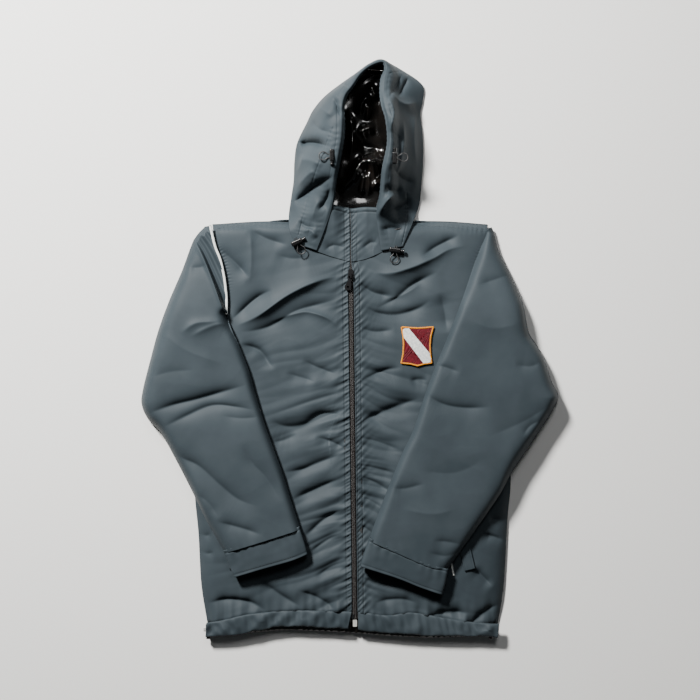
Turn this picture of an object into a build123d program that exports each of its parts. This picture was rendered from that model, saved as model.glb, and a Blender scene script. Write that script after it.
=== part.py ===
from build123d import *
import math
import os

# Foul weather jacket lying flat on its back, front up, sleeves folded down over the body. Millimetres.
# Z is up from the surface, Y runs towards the hood, X towards the wearer's left.
# "right" and "left" are the wearer's: the wearer's right side is at -X.

# Cloth thicknesses
SHELL = 1.5
LINING = 0.8
FACING = 2.4

# Heights above the surface
EDGE_Z = 3.0
LINING_Z = 14.0
FRONT_Z = 24.7
ARMHOLE_Z = 20.0
OVER_BODY_Z = 28.0
TRIM_Z = 25.0

# Body
BACK_T = 1.2
YOKE_Y = 150.0
FRONT_END_Y = -500.0
BACK_HEM_Y = -513.5
SIDE_EDGE = {
    "right": [
        (-257, 235), (-248, 192), (-239, 170), (-231, 135), (-227.5, 94), (-237, 52),
        (-268, -37), (-287, -148), (-290, -260), (-283, -342), (-277.5, -438), (-266, -500),
    ],
    "left": [
        (257, 233), (249, 192), (241, 170), (235, 135), (231, 94), (244, 52),
        (272, -37), (292, -148), (300, -240), (294, -316), (287, -438), (277, -503),
    ],
}
NECK_EDGE = {"right": [(-92, 237), (-64, 190), (-16, 163)], "left": [(96, 234), (66, 188), (22, 163)]}
BACK_NECK = [(-92, 238), (-50, 241), (54, 241), (96, 237)]

# Zip: the chain runs from the collar's top to the hem
ZIP_TOP = (0.0, 262.0)
ZIP_BOTTOM = (9.25, -514.0)
TAPE_W = 15.0
TAPE_T = 0.6
TAPE_Z = 21.2
COIL_INNER = 0.8
COIL_W = 2.6
COIL_H = 2.7
CHAIN_Z = 23.2
PANEL_GAP = 6.0
SLIDER_Y = 140.6
SLIDER_L = 18.0
SLIDER_W = 9.4
PLATE_T = 1.6
PULL_L = 28.0
PULL_LEAN = 15.0
BOX_L = 12.0

# Collar and hood
HOOD_BASE_Z = 44.0
BRIM_W = 8.0
BRIM_H = 9.0
# Y, right edge, right rim of the face opening, left rim, left edge, height of the rim
HOOD_STATIONS = [
    (270, -113, -34, 52, 127, 50),
    (301, -109, -28, 57.5, 131, 62),
    (340, -103.5, -18.5, 64, 135, 74),
    (383, -98, -12.5, 70, 136.5, 80),
    (440, -72, -11, 60, 133, 76),
    (481, -35, 5.5, 60.5, 136.5, 60),
    (508, 2, 26, 62, 118, 42),
]
CROWN = [(30, 532.5), (61, 540), (96, 525)]
COLLAR = {
    "right": [((-57, 191), 165), ((-47, 222), 215), ((-35, 264), 257)],
    "left": [((57, 187), 165), ((56, 222), 215), ((51, 264), 257)],
}
HOOD_BASE = {
    "right": [((-112, 222), (-68, 208), 27), ((-114, 240), (-54, 240), 27), ((-113.5, 266), (-40, 266), 3.2)],
    "left": [((113, 222), (72, 200), 27), ((119, 240), (64, 238), 27), ((126, 266), (57, 266), 3.2)],
}

# Sleeves: outer edge, inner edge, where the under layer leaves the surface, where it lies on the body,
# its height outboard, its height over the body, and the sleeve's top
SLEEVE = {
    "right": [
        ((-261, 230), (-241, 68), 0.50, 0.70, 3, 3, 26),
        ((-290.5, 207), (-243, 59), 0.80, 0.90, 3, 28, 38),
        ((-312.7, 146), (-220, 31.5), 0.66, 0.76, 3, 28, 46),
        ((-342, 55.5), (-203.5, -3.7), 0.50, 0.59, 3, 28, 50),
        ((-377.4, -48), (-183, -59), 0.40, 0.49, 3, 28, 52),
        ((-388.5, -107), (-163, -120), 0.34, 0.42, 3, 28, 52),
        ((-346, -166.5), (-142, -174), 0.17, 0.25, 3, 28, 52),
        ((-292, -266), (-116.5, -250), 0.06, 0.13, 28, 28, 51),
        ((-233, -372), (-92.5, -329), 0.06, 0.13, 28, 28, 50),
    ],
    "left": [
        ((262, 230), (259, 207), 0.50, 0.70, 3, 22, 30),
        ((283, 176), (238, 163), 0.66, 0.84, 3, 28, 40),
        ((314.5, 107), (214.6, 100), 0.64, 0.75, 3, 28, 46),
        ((342, 9), (179.5, 18.5), 0.38, 0.47, 3, 28, 50),
        ((383, -70), (146, -59), 0.30, 0.39, 3, 28, 52),
        ((388.5, -92.5), (137, -85), 0.28, 0.37, 3, 28, 52),
        ((364.5, -129.5), (120, -126), 0.18, 0.26, 3, 28, 52),
        ((329, -185), (100, -185), 0.04, 0.10, 3, 28, 52),
        ((294, -244), (77.7, -248), 0.04, 0.10, 28, 28, 51),
        ((183, -399.6), (39, -351.5), 0.04, 0.10, 28, 28, 50),
    ],
}
CUFF = {
    "right": [((-232.5, -373), (-92, -330)), ((-213, -418), (-78, -375.5))],
    "left": [((182.5, -400.7), (38.5, -352.6)), ((168, -447.7), (23, -397.8))],
}
CUFF_TOP_Z = 50.0

# Hem casings and the drawcords inside casings
CASING_W = 26.0
CASING_H = 6.0
CASING_WALL = 1.0
FRONT_CASING = {"right": ((-262, -515), (-15, -501.5)), "left": ((33.5, -501), (274, -517))}
BACK_CASING = ((-262, -527), (268, -527))
CORD_R = 1.0
DRAWCORD_R = 1.25

# Pockets
FLAP = {"right": ((-175, -244), (-214, -407)), "left": ((183, -244), (222, -407))}
FLAP_W = 20.0
SLIT = (5.0, 150.0)
BAG = {"right": (-207, -98), "left": (98, 207)}
BAG_Y = (-405, -250)
BAG_Z = (15.6, 22.7)

# Badge, a shield with hollow sides
BADGE = {"left": 95.2, "right": 153.5, "top": 42.5, "bottom": -23.0, "waist": 4.0, "tip": 4.5}
BADGE_T = 1.6

# Cord locks: centre, and the direction its cord leaves in, in degrees, and which way the plunger points
LOCKS = {
    "face_right": ((-32.5, 351.5, 78.0), 180, 1),
    "face_left": ((81.0, 348.7, 78.0), 0, 1),
    "neck_right": ((-97.0, 199.0, 33.0), 296, 1),
    "neck_left": ((84.0, 184.0, 33.0), 262, 1),
    "hem_right": ((-264.0, -521.0, 12.5), 0, -1),
    "hem_left": ((262.0, -521.0, 12.5), 180, 1),
}
LOCK_W = 9.0
LOCK_BACK = 12.0
LOCK_FRONT = 10.0
LOCK_FILLET = 2.5
PLUNGER_R = 3.0
PLUNGER_TRAVEL = 3.5
LOCK_CLEARANCE = 0.3
SLOT_W = 6.8
SLOT_H = 3.0
# The cord's route beside its lock: how far out from the exit, and how far to the side
LOOP = [(-3.5, 1.7), (12, 1.6), (19, 8.5), (28.5, 5.5), (28.5, -5.5), (19, -8.5), (12, -1.6), (-3.5, -1.7)]
LOCK_FROM_EXIT = 5.0


def zip_x(y):
    """X of the zip's centre line at a height on the jacket."""
    slope = (ZIP_BOTTOM[0] - ZIP_TOP[0]) / (ZIP_BOTTOM[1] - ZIP_TOP[1])
    return ZIP_TOP[0] + (y - ZIP_TOP[1]) * slope


ZIP_TILT = math.degrees(math.atan2(ZIP_BOTTOM[0] - ZIP_TOP[0], ZIP_TOP[1] - ZIP_BOTTOM[1]))
SIGN = {"right": -1, "left": 1}


def normal(a, b):
    """Unit normal to the left of the line from a to b."""
    length = math.dist(a, b)
    return (-(b[1] - a[1]) / length, (b[0] - a[0]) / length)


def offset_line(points, distance, closed=False):
    """The polyline moved sideways, with mitred corners."""
    moved = []
    count = len(points)
    for i, point in enumerate(points):
        sides = []
        if i > 0 or closed:
            sides.append(normal(points[i - 1], point))
        if i < count - 1 or closed:
            sides.append(normal(point, points[(i + 1) % count]))
        nx = sum(side[0] for side in sides) / len(sides)
        ny = sum(side[1] for side in sides) / len(sides)
        scale = distance / (nx * nx + ny * ny)
        moved.append((point[0] + nx * scale, point[1] + ny * scale))
    return moved


def upright_wire(a, b, profile):
    """A closed wire standing on the line from a to b, its profile given as distance from a and height."""
    length = math.dist(a, b)
    ux = (b[0] - a[0]) / length
    uy = (b[1] - a[1]) / length
    return Wire.make_polygon([(a[0] + ux * s, a[1] + uy * s, z) for s, z in profile], close=True)


def cloth_strip(stations, thickness):
    """A thin layer lofted through stations of (a, b, profile), thickness below the profile."""
    wires = []
    for a, b, profile in stations:
        under = offset_line(profile, -thickness)
        wires.append(upright_wire(a, b, profile + under[::-1]))
    return Solid.make_loft(wires, ruled=True)


def ring_loft(stations, thickness):
    """A closed tube of cloth lofted through stations of (a, b, profile)."""
    outer = Solid.make_loft([upright_wire(a, b, p) for a, b, p in stations], ruled=True)
    inner = Solid.make_loft(
        [upright_wire(a, b, offset_line(p, thickness, True)) for a, b, p in stations], ruled=True
    )
    return outer - inner


def plate(points, z, thickness):
    """A flat piece of cloth with its underside at z."""
    outline = make_face(Polyline(*[(x, y) for x, y in points], close=True))
    return Pos(0, 0, z) * extrude(outline, thickness)


def tunnel(a, b, width, height, z, wall):
    """A straight flat casing from a to b, open at both ends."""
    length = math.dist(a, b)
    angle = math.degrees(math.atan2(b[1] - a[1], b[0] - a[0]))
    shape = Box(length, width, height) - Box(length + 2, width - 2 * wall, height - 2 * wall)
    return Pos((a[0] + b[0]) / 2, (a[1] + b[1]) / 2, z + height / 2) * Rot(0, 0, angle) * shape


def cord_tube(points, radius):
    """A round cord along straight runs joined by arcs as large as the runs allow."""
    radii = []
    for before, corner, after in zip(points, points[1:], points[2:]):
        run = Vector(*corner) - Vector(*before)
        next_run = Vector(*after) - Vector(*corner)
        turn = math.radians(run.get_angle(next_run))
        radii.append(0.45 * min(run.length, next_run.length) / math.tan(turn / 2))
    path = FilletPolyline(*points, radius=radii)
    section = Plane(origin=path @ 0, z_dir=path % 0) * Circle(radius)
    solid = sweep(section, path=path)
    spread = solid.volume / (math.pi * radius**2 * path.length)
    print(f"  cord: length {path.length:.1f}, smallest radius {min(radii):.1f}, volume ratio {spread:.3f}")
    return solid


# ---------------------------------------------------------------- body


def body_outline(inset):
    """The back's outline from hem to shoulders, inset from the side seams."""
    right = [(x + inset, y) for x, y in SIDE_EDGE["right"]]
    left = [(x - inset, y) for x, y in SIDE_EDGE["left"]]
    return right, left


def back_panel():
    right, left = body_outline(0)
    right = [p for p in right if p[1] < YOKE_Y and p[1] > FRONT_END_Y]
    left = [p for p in left if p[1] < YOKE_Y and p[1] > FRONT_END_Y]
    top = [(-234, YOKE_Y), (237, YOKE_Y)]
    bottom = [(277, BACK_HEM_Y), (-268, BACK_HEM_Y)]
    return plate([top[0], top[1]] + left + bottom + right[::-1], 0, BACK_T)


def back_yoke():
    gap = 0.5
    right, left = body_outline(0)
    right = [p for p in right if p[1] > YOKE_Y]
    left = [p for p in left if p[1] > YOKE_Y]
    bottom = [(237, YOKE_Y + gap), (-234, YOKE_Y + gap)]
    return plate(right[:1] + BACK_NECK + left + bottom + right[:0:-1], 0, BACK_T)


def back_lining():
    right, left = body_outline(5)
    bottom = [(270, BACK_HEM_Y), (-262, BACK_HEM_Y)]
    inset_neck = [(x, y - 5) for x, y in BACK_NECK]
    right_side = [p for p in right if p[1] > FRONT_END_Y]
    left_side = [p for p in left if p[1] > FRONT_END_Y]
    outline = inset_neck + [(252, 228)] + left_side[1:] + bottom + right_side[:0:-1] + [(-252, 229)]
    return plate(outline, 1.6, LINING)


def front_stations(side):
    """Side seam to zip edge, or to the neckline above the zip's start."""
    stations = []
    neck = NECK_EDGE[side]
    for i, a in enumerate(SIDE_EDGE[side]):
        if i < len(neck):
            b = neck[i]
        else:
            b = (zip_x(a[1]) + SIGN[side] * PANEL_GAP, a[1])
        if a[1] <= FRONT_END_Y:
            b = (zip_x(-486) + SIGN[side] * PANEL_GAP, -486)
        edge_z = ARMHOLE_Z if a[1] >= 52 else EDGE_Z
        rise = FRONT_Z - edge_z
        length = math.dist(a, b)
        profile = [(0, edge_z), (18, edge_z + 0.68 * rise), (50, FRONT_Z - 0.3), (length, FRONT_Z)]
        stations.append((a, b, profile))
    return stations


def flap_place(side):
    """Position and angle of a pocket opening."""
    a, b = FLAP[side]
    angle = math.degrees(math.atan2(b[1] - a[1], b[0] - a[0]))
    return Pos((a[0] + b[0]) / 2, (a[1] + b[1]) / 2, 0) * Rot(0, 0, angle)


def front_panel(side):
    slit = flap_place(side) * Pos(0, 0, FRONT_Z) * Box(SLIT[1], SLIT[0], 8)
    return cloth_strip(front_stations(side), SHELL) - slit


def front_lining(side):
    inset = 28 * -SIGN[side]
    zip_edge = 8 * SIGN[side]
    edge = [(x + inset, y) for x, y in SIDE_EDGE[side] if FRONT_END_Y < y < 200]
    outline = edge + [(edge[-1][0], -480), (zip_x(-480) + zip_edge, -480), (zip_x(155) + zip_edge, 155)]
    outline.append((SIGN[side] * 64, 182))
    return plate(outline, LINING_Z, LINING)


def pocket_flaps():
    length = math.dist(*FLAP["left"])
    flap = extrude(RectangleRounded(length, FLAP_W, 3), BADGE_T)
    return Compound([flap_place(side) * Pos(0, 0, TRIM_Z) * flap for side in SIGN])


def pocket_bag(side):
    x0, x1 = BAG[side]
    y0, y1 = BAG_Y
    z0, z1 = BAG_Z
    centre = Pos((x0 + x1) / 2, (y0 + y1) / 2, (z0 + z1) / 2)
    outer = Box(x1 - x0, y1 - y0, z1 - z0)
    inner = Box(x1 - x0, y1 - y0 - 2 * LINING, z1 - z0 - 2 * LINING)
    return centre * (outer - Pos(SIGN[side] * 2, 0, 0) * inner)


def hem_casing():
    pieces = [tunnel(a, b, CASING_W, CASING_H, 19, CASING_WALL) for a, b in FRONT_CASING.values()]
    pieces.append(tunnel(*BACK_CASING, CASING_W, CASING_H, 0, CASING_WALL))
    return Compound(pieces)


def straight_cord(a, b, z, radius):
    length = math.dist(a, b) - 8
    angle = math.degrees(math.atan2(b[1] - a[1], b[0] - a[0]))
    return Pos((a[0] + b[0]) / 2, (a[1] + b[1]) / 2, z) * Rot(0, 0, angle) * Rot(0, 90, 0) * Cylinder(radius, length)


def hem_drawcord():
    pieces = [straight_cord(a, b, 19 + CASING_H / 2, DRAWCORD_R) for a, b in FRONT_CASING.values()]
    pieces.append(straight_cord(*BACK_CASING, CASING_H / 2, DRAWCORD_R))
    return Compound(pieces)


def armhole_piping():
    tubes = []
    for side, sign in SIGN.items():
        points = [(x - sign * 4, y, 23.8) for x, y in SIDE_EDGE[side] if y >= 94]
        points.append((points[-1][0] + sign * 1.5, 70, 23.8))
        tubes.append(cord_tube(points, 1.5))
    return Compound(tubes)


def badge():
    left, right, top, bottom = BADGE["left"], BADGE["right"], BADGE["top"], BADGE["bottom"]
    middle_x = (left + right) / 2
    middle_y = (top + bottom) / 2
    tip = BADGE["tip"]
    waist = BADGE["waist"]
    sides = Curve() + [
        Polyline((left, top), (middle_x, top + tip * 0.4), (right, top)),
        ThreePointArc((right, top), (right - waist, middle_y), (right, bottom)),
        Polyline((right, bottom), (middle_x, bottom - tip), (left, bottom)),
        ThreePointArc((left, bottom), (left + waist, middle_y), (left, top)),
    ]
    return Pos(0, 0, TRIM_Z) * extrude(make_face(sides), BADGE_T)


# ---------------------------------------------------------------- collar and hood


def collar_front(side):
    stations = []
    for a, zip_y in COLLAR[side]:
        b = (zip_x(zip_y) + SIGN[side] * PANEL_GAP, zip_y)
        stations.append((a, b, [(0, 18), (10, FRONT_Z - 1), (math.dist(a, b), FRONT_Z)]))
    return cloth_strip(stations, SHELL)


def collar_back():
    return plate([(-50, 176), (56, 176), (50, 264), (-36, 264)], 3, 2)


def hanger_loop():
    strap = Pos(3, 190, 12) * Box(56, 7, 1)
    feet = [Pos(3 + x, 190, 8.5) * Box(6, 7, 6) for x in (-25, 25)]
    return strap + feet[0] + feet[1]


def hood_base():
    pieces = []
    for side in SIGN:
        stations = []
        for a, b, edge_z in HOOD_BASE[side]:
            length = math.dist(a, b)
            profile = [(0, edge_z), (0.12 * length, edge_z + 0.7 * (HOOD_BASE_Z - edge_z))]
            profile += [(0.5 * length, HOOD_BASE_Z), (length, HOOD_BASE_Z - 2)]
            stations.append((a, b, profile))
        pieces.append(cloth_strip(stations, SHELL))
    return Compound(pieces)


def neck_drawcord():
    """The elastic between the two neck locks, round the back of the neck under the hood's lower edge."""
    points = [(-104, 228, 31), (-72, 224, 33), (-64, 232, 20), (-30, 246, 8.5), (34, 246, 8.5)]
    points += [(68, 232, 20), (77, 222, 33), (104, 228, 31)]
    return cord_tube(points, DRAWCORD_R)


def hood_profile(width, rim_z):
    """A hood side from the surface up to the casing at the face opening."""
    return [
        (0, 3.2), (0.10 * width, 0.5 * rim_z), (0.45 * width, 0.8 * rim_z),
        (0.75 * width, 0.86 * rim_z), (width, rim_z - 7),
    ]


def hood_panel(side):
    stations = []
    for y, right_x, rim_right, rim_left, left_x, rim_z in HOOD_STATIONS:
        edge = right_x if side == "right" else left_x
        rim = rim_right if side == "right" else rim_left
        a = (edge, y)
        b = (rim + SIGN[side] * (BRIM_W + 0.5), y)
        stations.append((a, b, hood_profile(math.dist(a, b), rim_z)))
    return cloth_strip(stations, SHELL)


def hood_panel_centre():
    inset = 3
    right = [(s[1] + inset, s[0]) for s in HOOD_STATIONS]
    left = [(s[4] - inset, s[0]) for s in HOOD_STATIONS]
    return plate(right + CROWN + left[::-1], 0, BACK_T)


def hood_lining():
    """One layer up both sides and across the back, inside the hood."""
    stations = []
    for y, right_x, rim_right, rim_left, left_x, rim_z in HOOD_STATIONS:
        a = (right_x, y)
        width = left_x - right_x
        right_w = rim_right - BRIM_W - right_x
        left_w = left_x - rim_left - BRIM_W
        right_half = [
            (right_w - 1, rim_z - 12), (0.5 * right_w + 2, 0.8 * rim_z - 5),
            (0.12 * right_w + 4, 0.46 * rim_z - 2), (7, 6), (11, 2.8),
        ]
        left_half = [
            (left_w - 1, rim_z - 12), (0.5 * left_w + 2, 0.8 * rim_z - 5),
            (0.12 * left_w + 4, 0.46 * rim_z - 2), (7, 6), (11, 2.8),
        ]
        profile = right_half + [(width - s, z) for s, z in left_half[::-1]]
        stations.append((a, (left_x, y), profile))
    return cloth_strip(stations, -LINING)


def brim_stations(side):
    """Centre of the casing beside the face opening, at each station."""
    centres = []
    for y, right_x, rim_right, rim_left, left_x, rim_z in HOOD_STATIONS:
        rim = rim_right if side == "right" else rim_left
        centres.append((rim + SIGN[side] * BRIM_W / 2, y, rim_z))
    return centres


def rectangle_wire(centre, width, height):
    x, y, z = centre
    corners = [(-1, -1), (1, -1), (1, 1), (-1, 1)]
    return Wire.make_polygon([(x + i * width / 2, y, z + j * height / 2) for i, j in corners], close=True)


def hood_brim():
    pieces = []
    for side in SIGN:
        centres = brim_stations(side)
        outer = Solid.make_loft([rectangle_wire(c, BRIM_W, BRIM_H) for c in centres], ruled=True)
        inner = Solid.make_loft([rectangle_wire(c, BRIM_W - 2, BRIM_H - 2) for c in centres], ruled=True)
        pieces.append(outer - inner)
    return Compound(pieces)


def hood_drawcord():
    return Compound([cord_tube(brim_stations(side), DRAWCORD_R) for side in SIGN])


# ---------------------------------------------------------------- sleeves


def sleeve_profiles(station):
    """Upper and under layers of a flattened sleeve at one station."""
    a, b, leave, land, low, high, top = station
    width = math.dist(a, b)
    upper = [
        (0, low + 7), (0.03 * width, low + 0.55 * (top - low)), (0.14 * width, top - 4),
        (0.40 * width, top), (0.85 * width, top - 2), (0.975 * width, high + 0.5 * (top - high)),
        (width, high + 0.32 * (top - high)),
    ]
    under = [
        (0, low + 5), (0.02 * width, low), (leave * width, low), (land * width, high),
        (0.98 * width, high), (width, high + 0.22 * (top - high)),
    ]
    return upper, under


def sleeve_upper(side):
    return cloth_strip([(s[0], s[1], sleeve_profiles(s)[0]) for s in SLEEVE[side]], SHELL)


def sleeve_under(side):
    return cloth_strip([(s[0], s[1], sleeve_profiles(s)[1]) for s in SLEEVE[side]], -SHELL)


def sleeve_lining(side):
    """The lining starts below the head of the sleeve, where the two layers part."""
    stations = []
    for station in SLEEVE[side][2:]:
        upper, under = sleeve_profiles(station)
        inner_upper = offset_line(upper, -SHELL - 0.6)
        inner_under = offset_line(under, SHELL + 0.6)
        loop = inner_under[1:-1] + inner_upper[1:-1][::-1]
        stations.append((station[0], station[1], loop))
    return ring_loft(stations, LINING)


def cuff_hem(side):
    stations = []
    for a, b in CUFF[side]:
        width = math.dist(a, b)
        profile = [
            (0, OVER_BODY_Z + 6), (4, OVER_BODY_Z), (width - 4, OVER_BODY_Z), (width, OVER_BODY_Z + 6),
            (width - 4, CUFF_TOP_Z - 8), (0.8 * width, CUFF_TOP_Z - 2), (0.4 * width, CUFF_TOP_Z),
            (0.12 * width, CUFF_TOP_Z - 4),
        ]
        stations.append((a, b, profile))
    return ring_loft(stations, FACING)


# ---------------------------------------------------------------- zip


def on_zip(y):
    """The place on the zip at a height on the jacket, turned in line with the chain."""
    return Pos(zip_x(y), y, 0) * Rot(0, 0, ZIP_TILT)


def zip_bar(side, inner, width, z, height, y0, y1):
    """A straight strip on one side of the chain."""
    middle = (y0 + y1) / 2
    x = SIGN[side] * (inner + width / 2)
    return on_zip(middle) * Pos(x, 0, z + height / 2) * Box(width, y1 - y0, height)


def zip_tape(side):
    return zip_bar(side, 1.0, TAPE_W, TAPE_Z, TAPE_T, -499, 261)


def zip_coil(side):
    end = -489 if side == "right" else -499
    return zip_bar(side, COIL_INNER, COIL_W, TAPE_Z + TAPE_T + 0.1, COIL_H, end, 254)


def zip_top_stops():
    stops = [zip_bar(side, COIL_INNER, COIL_W, TAPE_Z + TAPE_T + 0.1, 3.4, 255, 259) for side in SIGN]
    return Compound(stops)


def zip_bottom_box():
    box = Box(7.5, BOX_L, 5)
    box = fillet(box.edges().filter_by(Axis.Z), 1.2)
    socket = Pos(-2, 3, 0) * Rot(90, 0, 0) * Cylinder(1.3, BOX_L)
    return on_zip(-506) * Pos(0, 0, CHAIN_Z) * (box - socket)


def zip_insertion_pin():
    pin = Rot(90, 0, 0) * Cylinder(1.0, 18)
    return on_zip(-499) * Pos(-2, 0, CHAIN_Z) * pin


def zip_slider():
    """Top and bottom plates, the post between the rows, side flanges and the bridge that holds the pull."""
    plate_shape = extrude(RectangleRounded(SLIDER_W, SLIDER_L, 3.2), PLATE_T)
    top_z = TAPE_Z + 4.2
    bottom_z = TAPE_Z - 2.8
    bridge_y = (-6.5, 0.5)
    body = Pos(0, 0, top_z) * plate_shape + Pos(0, 0, bottom_z) * plate_shape
    post_h = top_z - bottom_z
    body += Pos(0, SLIDER_L / 2 - 4.5, bottom_z + post_h / 2 + PLATE_T / 2) * Box(0.9, 7, post_h)
    for sign in (-1, 1):
        body += Pos(sign * (SLIDER_W / 2 - 0.4), -2, top_z - 1.2) * Box(0.8, 10, 2.8)
        body += Pos(sign * (SLIDER_W / 2 - 0.4), -2, bottom_z + PLATE_T + 0.3) * Box(0.8, 10, 0.8)
    for y in bridge_y:
        body += Pos(0, y, top_z + PLATE_T + 2.2) * Box(3, 2, 4.8)
    bar_y = (bridge_y[0] + bridge_y[1]) / 2
    body += Pos(0, bar_y, top_z + PLATE_T + 5.0) * Box(3, bridge_y[1] - bridge_y[0] + 2, 1.6)
    return on_zip(SLIDER_Y) * body


def zip_pull():
    """A flat teardrop on a ring whose crossbar turns in the slider's bridge."""
    ring = Pos(0, -3.2) * RectangleRounded(10.4, 8.2, 1.2) - Pos(0, -3.7) * Rectangle(6.4, 5.2)
    drop = Pos(0, -PULL_L + 6) * Circle(6) + Pos(0, -PULL_L + 14) * Trapezoid(11.8, 14, 75, rotation=0)
    drop -= Pos(0, -PULL_L + 6) * Circle(2.2)
    drop -= Pos(0, -3.2) * Rectangle(6.4, 8.2)
    shape = extrude(ring + drop, 0.9, both=True)
    z = TAPE_Z + 4.2 + PLATE_T + 1.8
    return on_zip(SLIDER_Y) * Pos(0, -3, z) * Rot(0, 0, -PULL_LEAN) * shape


# ---------------------------------------------------------------- cord locks


def lock_place(name):
    """The lock's own frame: X along the cord, Y along the plunger."""
    centre, angle, flip = LOCKS[name]
    place = Pos(*centre) * Rot(0, 0, angle)
    return place if flip > 0 else place * Rot(180, 0, 0)


def cord_lock(name):
    middle = (LOCK_FRONT - LOCK_BACK) / 2
    body = Pos(0, middle, 0) * Box(LOCK_W, LOCK_FRONT + LOCK_BACK, LOCK_W)
    body = fillet(body.edges(), LOCK_FILLET)
    bore_end = -6 - PLUNGER_TRAVEL - 0.4
    bore_length = LOCK_FRONT - bore_end + 1
    bore = Pos(0, bore_end + bore_length / 2, 0) * Rot(90, 0, 0)
    body -= bore * Cylinder(PLUNGER_R + LOCK_CLEARANCE, bore_length)
    body -= Box(20, SLOT_W, SLOT_H)
    return lock_place(name) * body


def plunger(name):
    head_from = LOCK_FRONT + PLUNGER_TRAVEL + LOCK_CLEARANCE
    rod_length = head_from + 6
    rod = Pos(0, rod_length / 2 - 6, 0) * Rot(90, 0, 0) * Cylinder(PLUNGER_R, rod_length)
    head = Pos(0, head_from + 1.3, 0) * Rot(90, 0, 0) * Cylinder(4, 2.6)
    head = fillet(head.edges(), 0.8)
    slot = Pos(0, PLUNGER_TRAVEL / 2, 0) * Box(20, SLOT_W + PLUNGER_TRAVEL, SLOT_H)
    return lock_place(name) * (rod + head - slot)


def lock_cord(name):
    """The loop of elastic that runs through a lock and back."""
    centre, angle, flip = LOCKS[name]
    c = math.cos(math.radians(angle))
    s = math.sin(math.radians(angle))
    points = []
    for along, across in LOOP:
        out = along - LOCK_FROM_EXIT
        points.append((centre[0] + c * out - s * across, centre[1] + s * out + c * across, centre[2]))
    return cord_tube(points, CORD_R)


PARTS = {
    "back_panel": back_panel(),
    "back_yoke": back_yoke(),
    "back_lining": back_lining(),
    "hem_casing": hem_casing(),
    "hem_drawcord": hem_drawcord(),
    "armhole_piping": armhole_piping(),
    "pocket_flaps": pocket_flaps(),
    "pocket_bags": Compound([pocket_bag(side) for side in SIGN]),
    "badge": badge(),
    "collar_back": collar_back(),
    "hanger_loop": hanger_loop(),
    "hood_base": hood_base(),
    "neck_drawcord": neck_drawcord(),
    "hood_panel_centre": hood_panel_centre(),
    "hood_lining": hood_lining(),
    "hood_brim": hood_brim(),
    "hood_drawcord": hood_drawcord(),
    "zip_top_stops": zip_top_stops(),
    "zip_bottom_box": zip_bottom_box(),
    "zip_insertion_pin": zip_insertion_pin(),
    "zip_slider": zip_slider(),
    "zip_pull": zip_pull(),
}
for side in SIGN:
    PARTS[f"front_panel_{side}"] = front_panel(side)
    PARTS[f"front_lining_{side}"] = front_lining(side)
    PARTS[f"collar_{side}"] = collar_front(side)
    PARTS[f"hood_panel_{side}"] = hood_panel(side)
    PARTS[f"sleeve_upper_{side}"] = sleeve_upper(side)
    PARTS[f"sleeve_under_{side}"] = sleeve_under(side)
    PARTS[f"sleeve_lining_{side}"] = sleeve_lining(side)
    PARTS[f"cuff_hem_{side}"] = cuff_hem(side)
    PARTS[f"zip_tape_{side}"] = zip_tape(side)
    PARTS[f"zip_coil_{side}"] = zip_coil(side)
for name in LOCKS:
    PARTS[f"cord_lock_{name}"] = cord_lock(name)
    PARTS[f"plunger_{name}"] = plunger(name)
    PARTS[f"lock_cord_{name}"] = lock_cord(name)

os.makedirs("parts", exist_ok=True)
for name, shape in PARTS.items():
    export_step(shape, f"parts/{name}.step")
print(len(PARTS), "parts")
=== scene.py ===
"""The looks of a foul weather jacket lying on its back, front up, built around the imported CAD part.

Sizes are in millimetres in the part's frame unless a name says otherwise: +Y to the hood, +X to the wearer's
left, +Z up. "right" and "left" are the wearer's. Meshes are written in metres.
"""
import json
import math

import bpy
import numpy as np
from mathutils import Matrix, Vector
from mathutils.bvhtree import BVHTree

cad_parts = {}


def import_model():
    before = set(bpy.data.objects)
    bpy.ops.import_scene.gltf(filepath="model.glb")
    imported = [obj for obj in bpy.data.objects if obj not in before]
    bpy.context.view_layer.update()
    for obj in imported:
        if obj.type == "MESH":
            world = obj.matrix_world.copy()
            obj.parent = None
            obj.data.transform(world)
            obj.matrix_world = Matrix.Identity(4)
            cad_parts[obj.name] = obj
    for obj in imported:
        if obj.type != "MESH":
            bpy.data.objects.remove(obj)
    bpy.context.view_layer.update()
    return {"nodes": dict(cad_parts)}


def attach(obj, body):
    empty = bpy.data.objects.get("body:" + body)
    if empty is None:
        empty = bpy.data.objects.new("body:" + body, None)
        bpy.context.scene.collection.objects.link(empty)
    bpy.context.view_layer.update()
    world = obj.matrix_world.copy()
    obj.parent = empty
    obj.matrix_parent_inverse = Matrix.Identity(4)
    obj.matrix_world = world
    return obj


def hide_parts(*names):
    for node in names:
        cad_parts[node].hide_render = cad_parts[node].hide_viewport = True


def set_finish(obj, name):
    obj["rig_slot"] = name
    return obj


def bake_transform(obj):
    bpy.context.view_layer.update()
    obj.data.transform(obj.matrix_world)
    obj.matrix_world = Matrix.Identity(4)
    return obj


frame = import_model()

MM = 0.001
SIDES = {"right": -1, "left": 1}
# Thickness of the cloth layers
SHELL_T = 1.1
LINING_T = 0.6

# ---------------------------------------------------------------- camera and lights

CAMERA_HEIGHT = 2.4
FRAME_WIDTH = 1.295
FRAME_PLANE = 0.027


def camera():
    data = bpy.data.cameras.new("camera")
    data.angle = 2 * math.atan(FRAME_WIDTH / 2 / (CAMERA_HEIGHT - FRAME_PLANE))
    data.clip_end = 20
    cam = bpy.data.objects.new("camera", data)
    cam.location = (0, 0, CAMERA_HEIGHT)
    bpy.context.scene.collection.objects.link(cam)
    bpy.context.scene.camera = cam


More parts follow.
